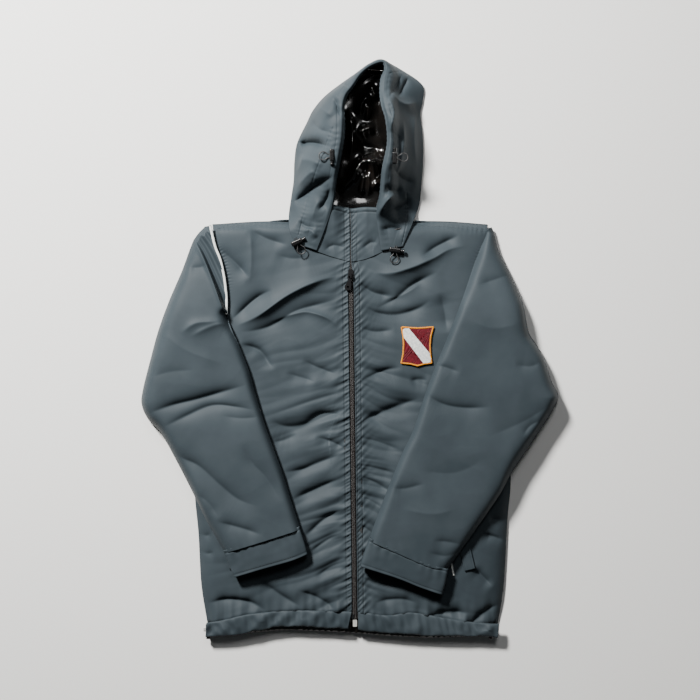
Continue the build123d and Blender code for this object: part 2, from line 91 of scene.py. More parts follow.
def area_light(name, place, target, size, power, colour):
    data = bpy.data.lights.new(name, "AREA")
    data.shape = "DISK"
    data.size = size
    data.energy = power
    data.color = colour
    light = bpy.data.objects.new(name, data)
    light.location = place
    light.rotation_euler = (Vector(target) - Vector(place)).to_track_quat("-Z", "Y").to_euler()
    bpy.context.scene.collection.objects.link(light)


def world(colour, strength):
    w = bpy.data.worlds.new("world")
    w.use_nodes = True
    background = w.node_tree.nodes["Background"]
    background.inputs["Color"].default_value = (*colour, 1)
    background.inputs["Strength"].default_value = strength
    bpy.context.scene.world = w


# ---------------------------------------------------------------- materials


def linear(rgb):
    """sRGB, 0 to 255, to linear."""
    return tuple((c / 255 / 12.92) if c < 10.3 else ((c / 255 + 0.055) / 1.055) ** 2.4 for c in rgb)


def new_material(name):
    mat = bpy.data.materials.new(name)
    mat.use_nodes = True
    return mat, mat.node_tree.nodes, mat.node_tree.links, mat.node_tree.nodes["Principled BSDF"]


def plain(name, rgb, rough):
    """One even colour."""
    mat, _, _, shader = new_material(name)
    shader.inputs["Base Color"].default_value = (*linear(rgb), 1)
    shader.inputs["Roughness"].default_value = rough
    return mat


# Scale of the weave's band texture when its pitch is 1
WEAVE_SCALE = 1000 / 2 / math.pi * 0.31
# Roughness of the clear coat on moulded pieces
COAT_ROUGH = 0.08


def textured(name, rgb, rgb2, rough, patch_mm, bumps, weave=None, sheen=0.0, specular=0.5, rough2=None):
    """A surface mottled between two colours, with noise bumps given as (size, depth) in mm and a weave."""
    mat, nodes, links, shader = new_material(name)
    coords = nodes.new("ShaderNodeTexCoord").outputs["Object"]
    noise = nodes.new("ShaderNodeTexNoise")
    noise.inputs["Scale"].default_value = 1000 / patch_mm
    noise.inputs["Detail"].default_value = 3
    links.new(coords, noise.inputs["Vector"])
    mix = nodes.new("ShaderNodeMix")
    mix.data_type = "RGBA"
    mix.inputs["A"].default_value = (*linear(rgb), 1)
    mix.inputs["B"].default_value = (*linear(rgb2), 1)
    spread = nodes.new("ShaderNodeMapRange")
    spread.inputs["From Min"].default_value = 0.36
    spread.inputs["From Max"].default_value = 0.64
    links.new(noise.outputs["Fac"], spread.inputs["Value"])
    links.new(spread.outputs["Result"], mix.inputs["Factor"])
    links.new(mix.outputs["Result"], shader.inputs["Base Color"])
    if rough2 is None:
        shader.inputs["Roughness"].default_value = rough
    else:
        polish = nodes.new("ShaderNodeMapRange")
        polish.inputs["To Min"].default_value = rough
        polish.inputs["To Max"].default_value = rough2
        links.new(noise.outputs["Fac"], polish.inputs["Value"])
        links.new(polish.outputs["Result"], shader.inputs["Roughness"])
    shader.inputs["Sheen Weight"].default_value = sheen
    shader.inputs["Sheen Roughness"].default_value = 0.5
    shader.inputs["Specular IOR Level"].default_value = specular
    normal = None
    for size, depth in bumps:
        grain = nodes.new("ShaderNodeTexNoise")
        grain.inputs["Scale"].default_value = 1000 / size
        grain.inputs["Detail"].default_value = 2
        links.new(coords, grain.inputs["Vector"])
        normal = add_bump(nodes, links, grain.outputs["Fac"], depth, normal)
    if weave:
        pitch, depth = weave
        for direction in ("X", "Y"):
            wave = nodes.new("ShaderNodeTexWave")
            wave.bands_direction = direction
            wave.inputs["Scale"].default_value = WEAVE_SCALE / pitch
            links.new(coords, wave.inputs["Vector"])
            normal = add_bump(nodes, links, wave.outputs["Fac"], depth, normal)
    if normal:
        links.new(normal, shader.inputs["Normal"])
    return mat


def hard(name, rgb, rgb2, rough, patch_mm, depth_mm, metallic=0.0, coat=0.0):
    """Moulded plastic or painted metal: slight mottling, uneven polish and a fine skin."""
    mat = textured(name, rgb, rgb2, rough, patch_mm, [(patch_mm / 2, depth_mm)], rough2=rough + 0.14)
    shader = mat.node_tree.nodes["Principled BSDF"]
    shader.inputs["Metallic"].default_value = metallic
    shader.inputs["Coat Weight"].default_value = coat
    shader.inputs["Coat Roughness"].default_value = COAT_ROUGH
    return mat


def add_bump(nodes, links, height, depth_mm, before):
    bump = nodes.new("ShaderNodeBump")
    bump.inputs["Distance"].default_value = depth_mm * MM
    links.new(height, bump.inputs["Height"])
    if before:
        links.new(before, bump.inputs["Normal"])
    return bump.outputs["Normal"]


MATERIALS = {
    "shell": textured(
        "shell", (52, 60, 65), (46, 54, 59), 0.6, 70, [(7, 0.06), (2.0, 0.03)], specular=0.14,
    ),
    "lining": textured(
        "lining", (9, 9, 9), (17, 14, 12), 0.12, 30, [(26, 0.5)], specular=1.0, rough2=0.2,
    ),
    "lining_matt": textured(
        "lining_matt", (30, 31, 33), (24, 25, 27), 0.5, 40, [(8, 0.3)], weave=(1.2, 0.05),
    ),
    "zip_tape": textured("zip_tape", (34, 36, 38), (27, 29, 31), 0.75, 12, [(1.2, 0.1)], weave=(0.9, 0.1)),
    "zip_coil": hard("zip_coil", (44, 40, 39), (34, 31, 30), 0.34, 2, 0.05),
    "zip_metal": hard("zip_metal", (30, 30, 32), (20, 20, 22), 0.3, 3, 0.04, metallic=0.6, coat=0.4),
    "zip_box": hard("zip_box", (180, 180, 176), (158, 158, 154), 0.38, 2.5, 0.04),
    "piping": textured("piping", (222, 225, 222), (205, 209, 206), 0.35, 6, [(1.5, 0.06)], specular=0.6),
    "thread": hard("thread", (46, 52, 56), (36, 41, 45), 0.62, 0.8, 0.06),
    "badge": textured("badge", (88, 5, 22), (68, 3, 15), 0.6, 5, [(1.1, 0.3)], specular=0.2),
    "badge_gold": textured("badge_gold", (204, 132, 8), (176, 104, 4), 0.5, 3, [(0.9, 0.3)], specular=0.3),
    "badge_white": textured("badge_white", (206, 208, 204), (178, 182, 182), 0.5, 4, [(1.0, 0.3)], sheen=0.3),
    "cord": textured("cord", (22, 22, 23), (40, 40, 41), 0.45, 1.2, [(0.8, 0.15)]),
    "lock": hard("lock", (12, 12, 13), (7, 7, 8), 0.18, 4, 0.03, coat=0.5),
}


# ---------------------------------------------------------------- lines, noise and folds


def catmull_rom(a, b, c, d, t):
    """The point at share t of the way from b to c, on a smooth curve through a, b, c and d."""
    return 0.5 * (2 * b + (c - a) * t + (2 * a - 5 * b + 4 * c - d) * t**2 + (3 * b - a - 3 * c + d) * t**3)


def spline(points, count):
    """count points, evenly spaced, on a smooth curve through the given ones."""
    p = np.array(points, float)
    ends = np.vstack([2 * p[0] - p[1], p, 2 * p[-1] - p[-2]])
    out = []
    for i in range(len(p) - 1):
        a, b, c, d = ends[i : i + 4]
        out.append(catmull_rom(a, b, c, d, np.linspace(0, 1, 16, endpoint=False)[:, None]))
    dense = np.vstack(out + [p[-1:]])
    along = np.concatenate([[0], np.cumsum(np.linalg.norm(np.diff(dense, axis=0), axis=1))])
    want = np.linspace(0, along[-1], count)
    return np.stack([np.interp(want, along, dense[:, k]) for k in range(p.shape[1])], 1)


def line_length(points):
    """Length of a polyline."""
    return float(np.sum(np.linalg.norm(np.diff(np.array(points, float), axis=0), axis=1)))


def run_along(points):
    """Distance along a polyline at each of its points."""
    return np.cumsum(np.append(0, np.linalg.norm(np.diff(points, axis=0), axis=1)))


def noise(x, y, size, seed):
    """Smooth noise, about -1 to 1, with lumps of the given size."""
    gx, gy = x / size, y / size
    ix, iy = np.floor(gx), np.floor(gy)
    fx, fy = gx - ix, gy - iy

    def corner(i, j):
        h = np.sin((ix + i) * 127.1 + (iy + j) * 311.7 + seed * 74.7) * 43758.5453
        angle = (h - np.floor(h)) * 2 * np.pi
        return np.cos(angle) * (fx - i) + np.sin(angle) * (fy - j)

    sx = fx**3 * (fx * (fx * 6 - 15) + 10)
    sy = fy**3 * (fy * (fy * 6 - 15) + 10)
    low = corner(0, 0) * (1 - sx) + corner(1, 0) * sx
    high = corner(0, 1) * (1 - sx) + corner(1, 1) * sx
    return 1.4 * (low * (1 - sy) + high * sy)


def ease(t):
    """From 0 to 1 as t goes from 0 to 1, level at both ends."""
    t = np.clip(t, 0, 1)
    return t * t * (3 - 2 * t)


def near_line(x, y, line):
    """Distance to a polyline, positive on its left, and the share of the way along."""
    line = np.array(line, float)
    lengths = np.linalg.norm(np.diff(line, axis=0), axis=1)
    start = np.concatenate([[0], np.cumsum(lengths)])
    best = np.full(x.shape, 1e9)
    side = np.ones(x.shape)
    share = np.zeros(x.shape)
    for i, length in enumerate(lengths):
        ux, uy = (line[i + 1] - line[i]) / length
        dx, dy = x - line[i][0], y - line[i][1]
        along = np.clip(dx * ux + dy * uy, 0, length)
        d = np.hypot(dx - along * ux, dy - along * uy)
        closer = d < best
        best = np.where(closer, d, best)
        side = np.where(closer, np.where(ux * dy - uy * dx >= 0, 1.0, -1.0), side)
        share = np.where(closer, (start[i] + along) / start[-1], share)
    return best * side, share


def away(x, y, points, count):
    """Distance to the smooth curve through the points."""
    return np.abs(near_line(x, y, spline(points, count))[0])


def around(x, y, points, step, reach):
    """The smooth line through the points, and which places lie in its box widened by reach."""
    line = spline(points, max(6, int(line_length(points) / step)))
    low, high = line.min(0) - reach, line.max(0) + reach
    return line, (x > low[0]) & (x < high[0]) & (y > low[1]) & (y < high[1])


# How much higher folds stand than their tables say, and the share of a fold over which each end fades
FOLD_GAIN = 2.1
FOLD_FADE = 0.34


def folds(x, y, table, soft=0.9):
    """Height of a list of folds, each (points, height, width on the left, width on the right)."""
    z = np.zeros(x.shape)
    for points, height, left, right in table:
        line, inside = around(x, y, points, 6, 4.5 * max(left, right))
        if not inside.any():
            continue
        d, share = near_line(x[inside], y[inside], line)
        width = np.where(d > 0, left, right)
        taper = ease(share / FOLD_FADE) * ease((1 - share) / FOLD_FADE)
        z[inside] += FOLD_GAIN * height * taper * np.exp(-(np.sqrt(d * d + soft * soft) - soft) / width)
    return z


def seams(x, y, table, depth=0.9, width=1.3, pucker=0.5, pitch=9):
    """Stitched seams: a narrow groove, with the cloth gathered a little on both sides."""
    z = np.zeros(x.shape)
    for points in table:
        line, inside = around(x, y, points, 5, 20)
        if not inside.any():
            continue
        d, share = near_line(x[inside], y[inside], line)
        run = share * line_length(line)
        wobble = noise(run, d * 0.5, pitch * 2.5, 5) * 2
        waves = np.cos(2 * np.pi * run / pitch + wobble) * np.exp(-np.abs(d) / 4.5)
        ends = (share > 0.001) & (share < 0.999)
        z[inside] += np.where(ends, -depth * np.exp(-((d / width) ** 2)) + pucker * waves, 0)
    return z


def crumple(x, y, seed, big, small):
    """Loose, slightly creased cloth."""
    bend = 22 * noise(x, y, 90, seed + 3)
    soft = big * noise(x + bend, y - bend, 100, seed) + 0.2 * big * noise(x - bend, y, 42, seed + 1)
    crease = np.maximum(0, 1 - np.abs(noise(x + bend, y * 1.3 + bend, 80, seed + 2)) * 2.2)
    return soft + small * crease**1.3


# ---------------------------------------------------------------- meshes


def patch(bottom, top, start, end, rows, columns, crowd=None):
    """A grid between four edge curves: bottom and top run from start to end."""
    u = np.linspace(0, 1, columns) if crowd is None else crowd(np.linspace(0, 1, columns))
    v = np.linspace(0, 1, rows)
    dense = 400
    b, t = spline(bottom, dense), spline(top, dense)
    s, e = spline(start, dense), spline(end, dense)

    def at(curve, w):
        return np.stack([np.interp(w, np.linspace(0, 1, dense), curve[:, k]) for k in range(2)], 1)

    B, T, S, E = at(b, u), at(t, u), at(s, v), at(e, v)
    U, V = u[None, :, None], v[:, None, None]
    ruled = (1 - V) * B[None] + V * T[None] + (1 - U) * S[:, None] + U * E[:, None]
    corners = (1 - U) * (1 - V) * b[0] + U * (1 - V) * b[-1] + (1 - U) * V * t[0] + U * V * t[-1]
    return ruled - corners


def quad_faces(rows, columns, wrap=False, flip=False, offset=0):
    """Faces of a grid of vertices."""
    i, j = np.meshgrid(np.arange(rows - 1), np.arange(columns if wrap else columns - 1), indexing="ij")
    k = (j + 1) % columns
    a, b, c, d = i * columns + j, i * columns + k, (i + 1) * columns + k, (i + 1) * columns + j
    faces = np.stack([a, b, c, d], -1).reshape(-1, 4) + offset
    return faces[:, ::-1] if flip else faces


def mesh_object(name, vertices, faces, material):
    """A smooth mesh in one of the materials, with that material's slot. Thread has no slot."""
    mesh = bpy.data.meshes.new(name)
    places = (np.asarray(vertices, float) * MM).tolist()
    mesh.from_pydata(places, [], [list(map(int, f)) for f in faces])
    mesh.polygons.foreach_set("use_smooth", [True] * len(mesh.polygons))
    mesh.materials.append(MATERIALS[material])
    mesh.update()
    obj = bpy.data.objects.new(name, mesh)
    bpy.context.scene.collection.objects.link(obj)
    if material != "thread":
        obj["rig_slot"] = material.split("_")[0] if material.startswith("badge") else material
    return obj


def grid_normals(grid, wrap=False):
    """Unit normals of a grid of points, by differences."""
    du = np.gradient(grid, axis=1)
    if wrap:
        du = (np.roll(grid, -1, 1) - np.roll(grid, 1, 1)) / 2
    dv = np.gradient(grid, axis=0)
    n = np.cross(du, dv)
    return n / np.maximum(np.linalg.norm(n, axis=2, keepdims=True), 1e-9)


def closed_shell(grid, thickness, wrap=False):
    """Vertices and faces of a cloth layer: a grid, the grid set back by the thickness, and the edges."""
    rows, columns = grid.shape[:2]
    back = grid - grid_normals(grid, wrap) * thickness
    count = rows * columns
    faces = [quad_faces(rows, columns, wrap), quad_faces(rows, columns, wrap, True, count)]
    rims = [np.arange(columns), (rows - 1) * columns + np.arange(columns)[::-1]]
    if wrap:
        rims = [np.append(r, r[0]) for r in rims]
    else:
        rims += [np.arange(rows)[::-1] * columns, np.arange(rows) * columns + columns - 1]
    for rim in rims:
        faces.append(np.stack([rim[1:], rim[:-1], rim[:-1] + count, rim[1:] + count], 1))
    return np.vstack([grid.reshape(-1, 3), back.reshape(-1, 3)]), np.vstack(faces)


def cloth(name, grid, thickness, material, wrap=False):
    vertices, faces = closed_shell(grid, thickness, wrap)
    return mesh_object(name, vertices, faces, material)


def stand_in(obj, body, node):
    """Fixes a piece to a body and shows it instead of the CAD node."""
    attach(obj, body)
    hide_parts(node)


def layer(node, grid, thickness, material, held):
    """A layer of cloth on the torso, shown instead of the CAD node."""
    obj = cloth(f"{node}_cloth", grid, thickness, material)
    stand_in(obj, "torso", node)
    declare(obj, grid, held)
    return obj


def level(xy, z):
    """A grid of points from their places and their heights."""
    return np.dstack([xy[..., 0], xy[..., 1], z])


def joined(name, parts, material):
    """One object of several (vertices, faces) parts."""
    vertices, faces, count = [], [], 0
    for v, f in parts:
        vertices.append(np.asarray(v, float))
        faces += [[int(i) + count for i in face] for face in f]
        count += len(v)
    return mesh_object(name, np.vstack(vertices), faces, material)


def tree(obj):
    mesh = obj.data
    return BVHTree.FromPolygons([v.co for v in mesh.vertices], [list(p.vertices) for p in mesh.polygons])


def drop(points, on, lift=0.0):
    """Points (x, y) set down on the given trees, as (x, y, z)."""
    out = []
    last = 25.0
    for x, y in points:
        hits = [t.ray_cast(Vector((x * MM, y * MM, 0.5)), Vector((0, 0, -1)))[0] for t in on]
        heights = [h.z / MM for h in hits if h]
        last = max(heights) if heights else last
        out.append((x, y, last + lift))
    return np.array(out)


def tube(path, across, up, sides=8):
    """An oval tube along a path: across and up are its half width and half height."""
    path = np.asarray(path, float)
    direction = np.gradient(path, axis=0)
    direction /= np.maximum(np.linalg.norm(direction, axis=1, keepdims=True), 1e-9)
    sideways = np.cross(direction, (0, 0, 1))
    sideways /= np.maximum(np.linalg.norm(sideways, axis=1, keepdims=True), 1e-9)
    upward = np.cross(sideways, direction)
    angle = np.linspace(0, 2 * np.pi, sides, endpoint=False)
    across, up = np.broadcast_to(across, len(path)), np.broadcast_to(up, len(path))
    ring = (
        path[:, None]
        + sideways[:, None] * np.cos(angle)[None, :, None] * across[:, None, None]
        + upward[:, None] * np.sin(angle)[None, :, None] * up[:, None, None]
    )
    faces = [list(f) for f in quad_faces(len(path), sides, True)]
    faces.append(list(range(sides)))
    faces.append([(len(path) - 1) * sides + i for i in range(sides)][::-1])
    return ring.reshape(-1, 3), faces


STITCH_PITCH = 3.4
STITCH_LENGTH = 2.3
STITCH_RADIUS = 0.28


def stitches(name, lines, on):
    """Rows of sewing thread set on a surface."""
    radius = np.array([0.3, 1, 1, 0.3]) * STITCH_RADIUS
    parts = []
    for line in lines:
        count = max(3, int(line_length(line) / STITCH_PITCH))
        points = drop(spline(line, count * 2), on, 0.12)
        for i in range(count):
            a, b = points[2 * i], points[2 * i + 1]
            step = (b - a) / max(np.linalg.norm(b - a), 1e-6)
            mid = (a + b) / 2
            path = [mid + step * STITCH_LENGTH * k for k in (-1 / 2, -1 / 5, 1 / 5, 1 / 2)]
            parts.append(tube(path, radius, radius, 5))
    return joined(name, parts, "thread")


def flat_size(grid, wrap=False):
    """Width, length and area of the flat cut a grid of cloth came from: its own measured surface."""
    if wrap:
        grid = np.concatenate([grid, grid[:, :1]], 1)
    a, b, c, d = grid[:-1, :-1], grid[:-1, 1:], grid[1:, 1:], grid[1:, :-1]
    area = np.linalg.norm(np.cross(b - a, c - a), axis=2).sum() / 2
    area += np.linalg.norm(np.cross(c - a, d - a), axis=2).sum() / 2
    coarse = grid[:: max(1, len(grid) // 16), :: max(1, grid.shape[1] // 16)]
    width = np.linalg.norm(np.diff(coarse, axis=1), axis=2).sum(1).max()
    length = np.linalg.norm(np.diff(coarse, axis=0), axis=2).sum(0).max()
    return width, length, area


FLAT_SIZES = {}


def declare(obj, grids, held, rests_on=(), wrap=False):
    """Declares a cloth piece with the flat size it was cut to: strips of one piece are laid side by side."""
    grids = grids if isinstance(grids, list) else [grids]
    sizes = [flat_size(grid, wrap) for grid in grids]
    area = sum(size[2] for size in sizes)
    length = math.ceil(max(12, max(size[1] for size in sizes)))
    width = math.ceil(max(12, sum(size[0] for size in sizes), area / length))
    area = max(area, 0.31 * width * length)
    FLAT_SIZES[obj.name] = (width, length, round(area / 100))


# ---------------------------------------------------------------- outlines of the body

SIDE_EDGE = {
    "right": [
        (-266, -508), (-277.5, -438), (-283, -342), (-290, -260), (-287, -148), (-268, -37), (-237, 52),
        (-227.5, 94), (-231, 135), (-239, 170), (-248, 192), (-257, 235),
    ],
    "left": [
        (276, -510), (287, -438), (294, -316), (300, -240), (292, -148), (272, -37), (244, 52), (231, 94),
        (235, 135), (241, 170), (249, 192), (257, 233),
    ],
}
NECK = {"right": [(-92, 239), (-64, 192), (-2, 163)], "left": [(96, 236), (66, 190), (4, 163)]}
HEM_LINE = {
    "right": [(-266, -508), (-239, -504), (-198, -494), (-142, -487), (-92, -485), (3, -487)],
    "left": [(276, -510), (228, -507), (181, -500), (137, -492), (107, -489), (70, -494), (15.4, -487)],
}
ZIP_TOP = (0.0, 262.0)
ZIP_BOTTOM = (9.25, -514.0)
SLIDER_Y = 140.6
FRONT_TOP = 24.4


def zip_x(y):
    return ZIP_TOP[0] + (y - ZIP_TOP[1]) * (ZIP_BOTTOM[0] - ZIP_TOP[0]) / (ZIP_BOTTOM[1] - ZIP_TOP[1])


def panel_gap(y):
    """From the zip's centre to the edge of a front: the edges close up above the slider."""
    return 5.2 - 4.3 * ease((y - SLIDER_Y - 4) / 22)


def beside_zip(side, x, y):
    """How far a place on a front is from its edge at the zip."""
    return SIDES[side] * (x - zip_x(y)) - panel_gap(y)


def zip_line(side, low, high, offset=0.0, count=14):
    ys = np.linspace(low, high, count)
    return [(zip_x(y) + SIDES[side] * (panel_gap(y) + offset), y) for y in ys]


SHOULDER_SEAM = {
    "right": [[(-254, 220), (-228, 231), (-192, 235), (-130, 236)]],
    "left": [[(252, 222), (180, 232), (120, 234)]],
}

# Folds: points, height, width on the left of the line and on its right
FRONT_FOLDS = {
    "right": [
        ([(-224, 52), (-181, 91), (-159, 105), (-140, 112)], -5.0, 7, 14),
        ([(-218, 42), (-170, 63), (-113, 102), (-57, 128), (-12, 139)], 6.5, 18, 8),
        ([(-213, 31), (-155, 42), (-100, 72), (-43, 89), (-12, 99)], -4.5, 8, 20),
        ([(-150, 52), (-100, 68), (-75, 70), (-40, 58), (-18, 38)], 3.2, 7, 6),
        ([(-206, 12), (-170, 1), (-152, -22), (-140, -38)], -4.2, 5, 11),
        ([(-90, -18), (-60, -32), (-22, -46)], -2.6, 6, 12),
        ([(-120, -42), (-90, -51), (-62, -60)], -1.8, 6, 12),
        ([(-152, -128), (-120, -142), (-85, -139), (-57, -120), (-30, -118), (-8, -128)], -6.2, 9, 24),
        ([(-150, -172), (-125, -168), (-96, -155)], -2.2, 6, 12),
        ([(-66, -161), (-40, -168), (-4, -184)], -3.2, 6, 12),
        ([(-128, -228), (-90, -222), (-63, -211), (-12, -192)], -4.4, 7, 15),
        ([(-112, -280), (-57, -255), (-12, -236)], -4.4, 7, 15),
        ([(-90, -352), (-46, -313), (-6, -292)], -4.4, 7, 15),
        ([(-80, -380), (-43, -353), (-14, -340)], -3.4, 6, 14),
        ([(-66, -424), (-35, -402), (-4, -392)], -2.6, 6, 14),
        ([(-172, -424), (-128, -455), (-88, -478)], -3.6, 6, 14),
        ([(-100, -444), (-57, -461), (-24, -484)], -3.4, 6, 14),
        ([(-276, -474), (-228, -463), (-181, -470), (-150, -490)], -4.6, 6, 16),
        ([(-250, 194), (-216, 165), (-185, 132)], -5.0, 8, 15),
        ([(-192, 227), (-155, 207), (-112, 194)], -3.4, 8, 14),
        ([(-185, 228), (-183, 170), (-187, 120)], 1.8, 8, 12),
        ([(-140, 178), (-110, 170), (-74, 172)], -2.2, 10, 16),
        ([(-286, -340), (-270, -345), (-255, -342)], -2.6, 5, 8),
        ([(-284, -372), (-268, -378), (-250, -376)], -2.4, 5, 8),
    ],
    "left": [
        ([(30, 146), (70, 141), (113, 152), (154, 170), (185, 187), (222, 194)], 5.2, 15, 9),
        ([(130, 170), (159, 191), (204, 214)], -4.6, 7, 15),
        ([(12, 128), (43, 107), (86, 99)], -4.6, 7, 14),
        ([(46, 76), (85, 96), (118, 122), (165, 147)], -5.4, 8, 18),
        ([(20, 86), (48, 70), (88, 66), (128, 78), (152, 96)], -4.6, 6, 15),
        ([(58, 92), (96, 102), (138, 128)], 2.4, 9, 8),
        ([(14, 44), (44, 34), (84, 38)], -2.6, 6, 12),
        ([(166, 108), (176, 72), (180, 30)], -3.6, 12, 18),
        ([(22, -56), (65, -37), (98, -33)], -3.6, 6, 13),
        ([(110, -58), (128, -54), (146, -57)], -2.2, 6, 10),
        ([(10, -138), (57, -117), (94, -102), (132, -88)], -6.4, 9, 22),
        ([(12, -160), (50, -170), (100, -188)], -3.6, 7, 14),
        ([(12, -212), (50, -220), (90, -230)], -3.4, 7, 14),
        ([(14, -232), (45, -245), (78, -264)], -3.4, 6, 12),
        ([(14, -270), (40, -281), (64, -294)], -3.0, 6, 12),
        ([(14, -322), (34, -334), (52, -352)], -3.0, 6, 12),
        ([(14, -372), (40, -380), (70, -400)], -3.0, 6, 12),
        ([(14, -420), (50, -432), (96, -438)], -3.0, 6, 14),
        ([(40, -470), (90, -462), (130, -470)], -3.0, 6, 14),
        ([(255, -316), (275, -314), (298, -319)], -3.6, 5, 9),
        ([(242, -340), (265, -346), (292, -356)], -3.6, 5, 9),
        ([(228, -402), (246, -420), (266, -440)], -3.4, 6, 10),
        ([(140, -496), (181, -487), (224, -488)], -5.4, 7, 14),
        ([(216, -516), (255, -484), (284, -472)], -6.4, 7, 12),
    ],
}


def gathers(side, to_zip, y):
    """Folds that run out from the gathered zip: valleys between ridges, dying away to the side."""
    seed = 61 if side == "right" else 67
    slanted = y + 0.30 * to_zip + 16 * noise(to_zip, y, 120, seed + 3)
    strength = 0.25 + 0.75 * ease((70 - y) / 120)
    strength = strength * (0.22 + np.exp(-((to_zip - 25) / 85) ** 2))
    wide = np.sqrt(noise(to_zip * 0.16, slanted, 27, seed) ** 2 + 0.004)
    fine = np.sqrt(noise(to_zip * 0.3, slanted, 13, seed + 1) ** 2 + 0.004)
    return strength * (5.2 * wide + 1.5 * fine * np.exp(-to_zip / 60) - 1.8)


def front_height(side, x, y):
    """Height of a front over the surface the jacket lies on."""
    s = SIDES[side]
    distance = away(x, y, SIDE_EDGE[side], 90)
    edge_z = 4 + 14 * ease((y - 10) / 60)
    roll = 1 - np.exp(-distance / 15)
    z = edge_z + (FRONT_TOP - edge_z) * roll
    to_zip = beside_zip(side, x, y)
    calm = 1 - 0.5 * np.exp(-np.clip(to_zip, 0, 400) / 9)
    loose = folds(x, y, FRONT_FOLDS[side]) + gathers(side, to_zip, y)
    loose += crumple(x, y, 11 if s < 0 else 23, 1.0, 0.3)
    z += loose * (0.25 + 0.75 * ease(distance / 40)) * calm
    floor = 12.5 - 8 * np.exp(-distance / 12)
    z = floor + np.logaddexp(0, (z - floor) / 1.5) * 1.5
    z += zip_puckers(side, to_zip, y)
    shoulder = [SIDE_EDGE[side][-1], (s * 175, 238.5), NECK[side][0], (NECK[side][0][0] * 0.8, 236)]
    to_shoulder = away(x, y, shoulder, 40)
    z = 4.5 + (z - 4.5) * (1 - np.exp(-((to_shoulder / 9) ** 1.3)))
    to_hem = away(x, y, HEM_LINE[side], 60)
    gather = 1.3 * noise(x, y * 0.25, 15, 9) + 1.0 * noise(x, y * 0.3, 36, 4)
    z += 3.8 * gather * np.exp(-to_hem / 26) - 1.6 * np.exp(-((to_hem / 3) ** 2))
    z += seams(x, y, SHOULDER_SEAM[side])
    arm = [p for p in SIDE_EDGE[side] if p[1] > 60]
    d, share = near_line(x, y, spline(arm, 40))
    ribs = np.cos(2 * np.pi * share * 175 / 7 + 1.5 * noise(x, y, 20, 8))
    ribs *= ease((share - 0.05) * 6) * ease((0.8 - share) * 6)
    return z + 0.7 * ribs * np.exp(-np.abs(np.abs(d) - 5) / 3.5)


def zip_puckers(side, to_zip, y):
    """The gathered cloth beside the zip, with a row of topstitching."""
    wander = 4.2 * noise(y, to_zip * 0.2, 48, 31 if side == "right" else 33)
    strength = np.clip(0.75 + 0.9 * noise(y, to_zip * 0.1, 38, 37), 0.1, 1.5)
    if side == "right":
        phase = 2 * np.pi * (y + 0.55 * to_zip) / 13 + wander
        z = 1.7 * strength * np.cos(phase) * np.exp(-np.abs(to_zip - 7) / 8)
        z += 0.8 * np.cos(2 * phase + 0.6) * np.exp(-np.abs(to_zip - 4) / 5)
        z += 1.3 * strength * np.cos(phase * 0.37 + 1) * np.exp(-np.abs(to_zip - 22) / 13)
        rows = (9.5,)
    else:
        phase = 2 * np.pi * (y - 0.9 * to_zip) / 8.2 + wander
        z = 0.9 * strength * np.cos(phase) * np.exp(-np.abs(to_zip - 5) / 5)
        z += 1.1 * strength * np.cos(phase * 8.2 / 15 + 2) * np.exp(-np.abs(to_zip - 13) / 8)
        rows = (3.0, 11.5)
    for row in rows:
        z -= 0.8 * np.exp(-(((to_zip - row) / 1.2) ** 2))
    z += 0.9 * np.exp(-(((to_zip - 1.2) / 2.4) ** 2))
    return 0.75 * z


def dense_ends(u):
    """More columns near both ends of a row."""
    return u - 0.115 * np.sin(2 * np.pi * u)


def front_panel(side):
    s = SIDES[side]
    top = [SIDE_EDGE[side][-1], (s * 175, 238.5)] + NECK[side]
    inner = zip_line(side, -487, 163)
    xy = patch(HEM_LINE[side], top, SIDE_EDGE[side], inner, 440, 190, dense_ends)
    if s > 0:
        xy = xy[:, ::-1]
    grid = level(xy, front_height(side, xy[..., 0], xy[..., 1]))
    obj = cloth(f"front_panel_{side}_cloth", grid, SHELL_T, "shell")
    stand_in(obj, "torso", f"front_panel_{side}")
    return obj, grid


def shift(points, dx=0.0, dy=0.0):
    """The points moved by dx and dy."""
    return [(x + dx, y + dy) for x, y in points]


# ---------------------------------------------------------------- back, linings and pockets


def flat_layer(x, y, z, seed, depth):
    """Height of a layer that lies flat at z, with shallow creases."""
    creases = 0.4 * depth * np.clip(noise(x, y, 26, seed + 1), -1, 1)
    return z + depth * (0.5 + 0.5 * noise(x, y, 70, seed)) + creases


# The back's seam with the yoke, and its lower edge
YOKE_LINE = 152
BACK_LOW = -514


def back_edge(side):
    """The side of the body between the hem and the armhole."""
    return [p for p in SIDE_EDGE[side] if -500 < p[1] < 145]


def back_panel():
    low, high = BACK_LOW, YOKE_LINE
    right = [(-266, low)] + back_edge("right") + [(-234, high)]
    left = [(275, low)] + back_edge("left") + [(237, high)]
    xy = patch([right[0], (0, low), left[0]], [right[-1], (0, high), left[-1]], right, left, 260, 180)
    x, y = xy[..., 0], xy[..., 1]
    gather = 1.1 * np.cos(2 * np.pi * x / 16 + 2 * noise(x, y, 40, 3)) * np.exp(-(y - low) / 22)
    z = flat_layer(x, y, 1.5, 41, 1.6) + folds(x, y, BACK_FOLDS) * 0.5 + gather * 0.8
    layer("back_panel", level(xy, np.clip(z, 1.2, 6)), SHELL_T, "shell", "laid")


def back_yoke():
    low = YOKE_LINE + 0.8
    top = [
        (-257, 236), (-175, 241), (-92, 241), (-40, 232), (0, 229), (44, 232), (96, 240), (175, 241),
        (257, 235),
    ]
    sides = [[(s * 235, low), (s * 246, 192), (s * 257, 235)] for s in (-1, 1)]
    xy = patch([(-235, low), (0, low), (235, low)], top, sides[0], sides[1], 60, 180)
    layer("back_yoke", level(xy, flat_layer(xy[..., 0], xy[..., 1], 1.5, 51, 1.5)), SHELL_T, "shell", "laid")


